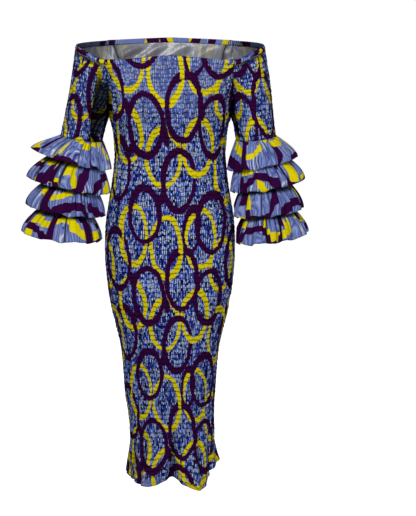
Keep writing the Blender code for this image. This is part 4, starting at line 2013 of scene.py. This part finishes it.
@dataclass
class NeckCasing:
    """The folded band with elastic in it, all round inside the neckline."""

    height: float = 0.012
    wall: float = 0.0012
    inset: float = 0.0014
    corner_ease: float = 0.0028
    corner_reach: float = 0.034
    columns: int = 420
    rows: int = 5
    pucker: float = 0.0003
    points_to_a_pucker: float = 5.0
    drawn_in: float = 1.12
    print_stretch: float = 1.2
    print_height: float = 0.235
    print_slope: float = 0.5
    short_of_seam: float = 0.999
    end_shade: float = 0.80
    ends: Ease = Ease(0.12, 0.07)

    def ring(self, level: float) -> Array:
        """Points of the cloth's outer face all round, at a level below the top edge.

        Args:
            level: How far below the top edge.

        Returns:
            The points, with x, y and z on the last axis.
        """
        neck = wrap(np.linspace(0.0, 360.0, self.columns + 1))
        side = np.where(neck < 0, -1.0, 1.0)
        angle = np.abs(neck)
        corner, far = FORM.neck_corner, 180.0 - FORM.neck_corner
        levels = np.full_like(neck, level)
        short = self.short_of_seam
        trunk = side * FORM.armhole_corner * short
        front = FORM.trunk_cloth(Panel.FRONT, np.minimum(angle / corner, 1) * trunk, levels)
        back = FORM.trunk_cloth(Panel.BACK, np.minimum((180 - angle) / corner, 1) * trunk, levels)
        arm = (90.0 - np.clip(angle, corner, far)) / (90.0 - corner) * FORM.sleeve_corner * short
        arms = np.where((side < 0)[:, None], FORM.sleeve_cloth(Side.LEFT, arm, levels),
                        FORM.sleeve_cloth(Side.RIGHT, arm, levels))
        behind = np.where((angle >= far)[:, None], back, arms)
        return np.where((angle <= corner)[:, None], front, behind)

    def build(self, finishes: Finishes) -> bpy.types.Object:
        """Makes the band, dresses it and declares its cloth.

        Args:
            finishes: The cloth's finishes.

        Returns:
            The band.
        """
        levels = np.linspace(0.0, -self.height, self.rows)
        base = np.stack([self.ring(level) for level in levels])
        out = base * (1.0, 1.0, 0.0)
        normal = grid_normals(base, out)
        normal[:, -1] = normal[:, 0]
        away = np.abs(np.abs(base[..., 0]) - FORM.seam_x(base[..., 2]))
        ease = self.corner_ease * np.clip(1 - away / self.corner_reach, 0, 1)
        pucker = np.sin(np.arange(self.columns + 1) * math.tau / self.points_to_a_pucker)
        pucker = self.pucker * pucker * np.linspace(0.0, 1.0, self.rows)[:, None]
        points = base - normal * (self.inset + ease + pucker)[..., None]
        points[:, -1] = points[:, 0]
        along = lengths_along(base[0])
        print_levels = self.print_height + self.print_slope * levels
        x, y = np.meshgrid(along * self.print_stretch, print_levels)
        # Painted shade towards the band's sides.
        dark = self.end_shade * self.ends.at(np.abs(base[..., 0]))
        maps = {"Cut": pair(x, y), "Hollow": pair(dark, np.zeros_like(dark))}
        piece = cloth_shell("neck_casing_cloth", points, maps, self.wall, out,
                            [finishes.plain, finishes.plain])
        return declare(piece, "neck_casing")


# ------------------------------------------------------------------ studio
class Lamp(NamedTuple):
    """A square soft lamp that is turned to the middle of the dress."""

    name: str
    place: tuple[float, float, float]
    size: float
    power: float


@dataclass
class Studio:
    """Pale floor, soft light and the camera."""

    distance: float = 4.50
    camera_height: float = 0.25
    pitch: float = 9.84
    lens: float = 127.5
    shift: float = 0.0736
    floor_drop: float = 0.22
    floor_size: float = 160.0
    floor_grey: float = 0.93
    floor_glow: float = 0.85
    sky_light: float = 0.20
    aim: tuple[float, float, float] = (0.0, 0.0, -0.45)
    lamps: tuple[Lamp, ...] = (
        Lamp("Key", (-0.5, -3.0, 1.7), 0.9, 70.0),
        Lamp("Fill", (1.6, -2.8, -0.9), 1.6, 17.0),
        Lamp("Back", (-0.6, 3.0, 1.5), 1.4, 48.0),
    )

    def camera(self) -> None:
        """Adds the camera in front of the dress, a little above its neckline."""
        data = bpy.data.cameras.new("Camera")
        data.sensor_fit = "VERTICAL"
        data.sensor_height = 36.0
        data.lens = self.lens
        data.shift_x = self.shift
        made = bpy.data.objects.new("Camera", data)
        made.location = (0.0, -self.distance, self.camera_height)
        made.rotation_euler = (math.radians(90.0 - self.pitch), 0.0, 0.0)
        bpy.context.collection.objects.link(made)
        bpy.context.scene.camera = made

    def floor(self, lowest: float) -> None:
        """Adds the pale floor, below the hem of the dress that someone holds up.

        Args:
            lowest: Height of the lowest point of the hem.
        """
        deselect()
        bpy.ops.mesh.primitive_plane_add(size=self.floor_size,
                                         location=(0, 0, lowest - self.floor_drop))
        floor = bpy.context.active_object
        floor.name = "floor"
        material = bpy.data.materials.new("Pale floor")
        material.use_nodes = True
        shader = material.node_tree.nodes["Principled BSDF"]
        shader.inputs["Base Color"].default_value = (*[self.floor_grey] * 3, 1.0)
        shader.inputs["Roughness"].default_value = 0.9
        shader.inputs["Emission Color"].default_value = (1.0, 1.0, 1.0, 1.0)
        shader.inputs["Emission Strength"].default_value = self.floor_glow
        floor.data.materials.append(material)
        floor.visible_diffuse = False
        floor.visible_glossy = False

    def sky(self) -> None:
        """Adds the sky, which is seen white and lights the dress only a little."""
        world = bpy.data.worlds.new("Studio sky")
        world.use_nodes = True
        background = world.node_tree.nodes["Background"].inputs
        seen = NodeSketch(world.node_tree).add("ShaderNodeLightPath", {}).output("Is Camera Ray")
        background["Color"].default_value = (1.0, 1.0, 1.0, 1.0)
        feed(background["Strength"], seen * (1.0 - self.sky_light) + self.sky_light)
        bpy.context.scene.world = world
        bpy.context.scene.view_settings.view_transform = "Standard"

    def light(self, lamp: Lamp) -> None:
        """Adds one lamp.

        Args:
            lamp: The lamp.
        """
        data = bpy.data.lights.new(lamp.name, "AREA")
        data.size = lamp.size
        data.energy = lamp.power
        made = bpy.data.objects.new(lamp.name, data)
        made.location = lamp.place
        towards = Vector(self.aim) - Vector(lamp.place)
        made.rotation_euler = towards.to_track_quat("-Z", "Y").to_euler()
        bpy.context.collection.objects.link(made)

    def build(self) -> None:
        """Sets up the whole studio."""
        self.camera()
        self.sky()
        for lamp in self.lamps:
            self.light(lamp)
        self.floor(float(CAD_BOUNDS[0][2]))


@dataclass
class Dress:
    """The whole dress."""

    pieces: list[bpy.types.Object] = field(default_factory=list)

    def build(self) -> None:
        """Builds and dresses every piece of cloth."""
        finishes = Finishes()
        parts = [TrunkPanel(panel=Panel.FRONT, seed=3), TrunkPanel(panel=Panel.BACK, seed=5),
                 NeckCasing()]
        for side, seed, start in ((Side.LEFT, 8, 0.994), (Side.RIGHT, 11, 1.430)):
            parts.append(Sleeve(side=side, seed=seed, print_start=start))
            parts += [Ruffle(side, number) for number in range(1, len(TIERS[side]) + 1)]
        for part in parts:
            self.pieces.append(part.build(finishes))


def main() -> None:
    """Builds the dress and its studio."""
    logging.basicConfig(level=logging.INFO, format="%(name)s: %(message)s")
    dress = Dress()
    dress.build()
    Studio().build()
    LOG.info("%d pieces of cloth", len(dress.pieces))


if __name__ == "__main__":
    main()
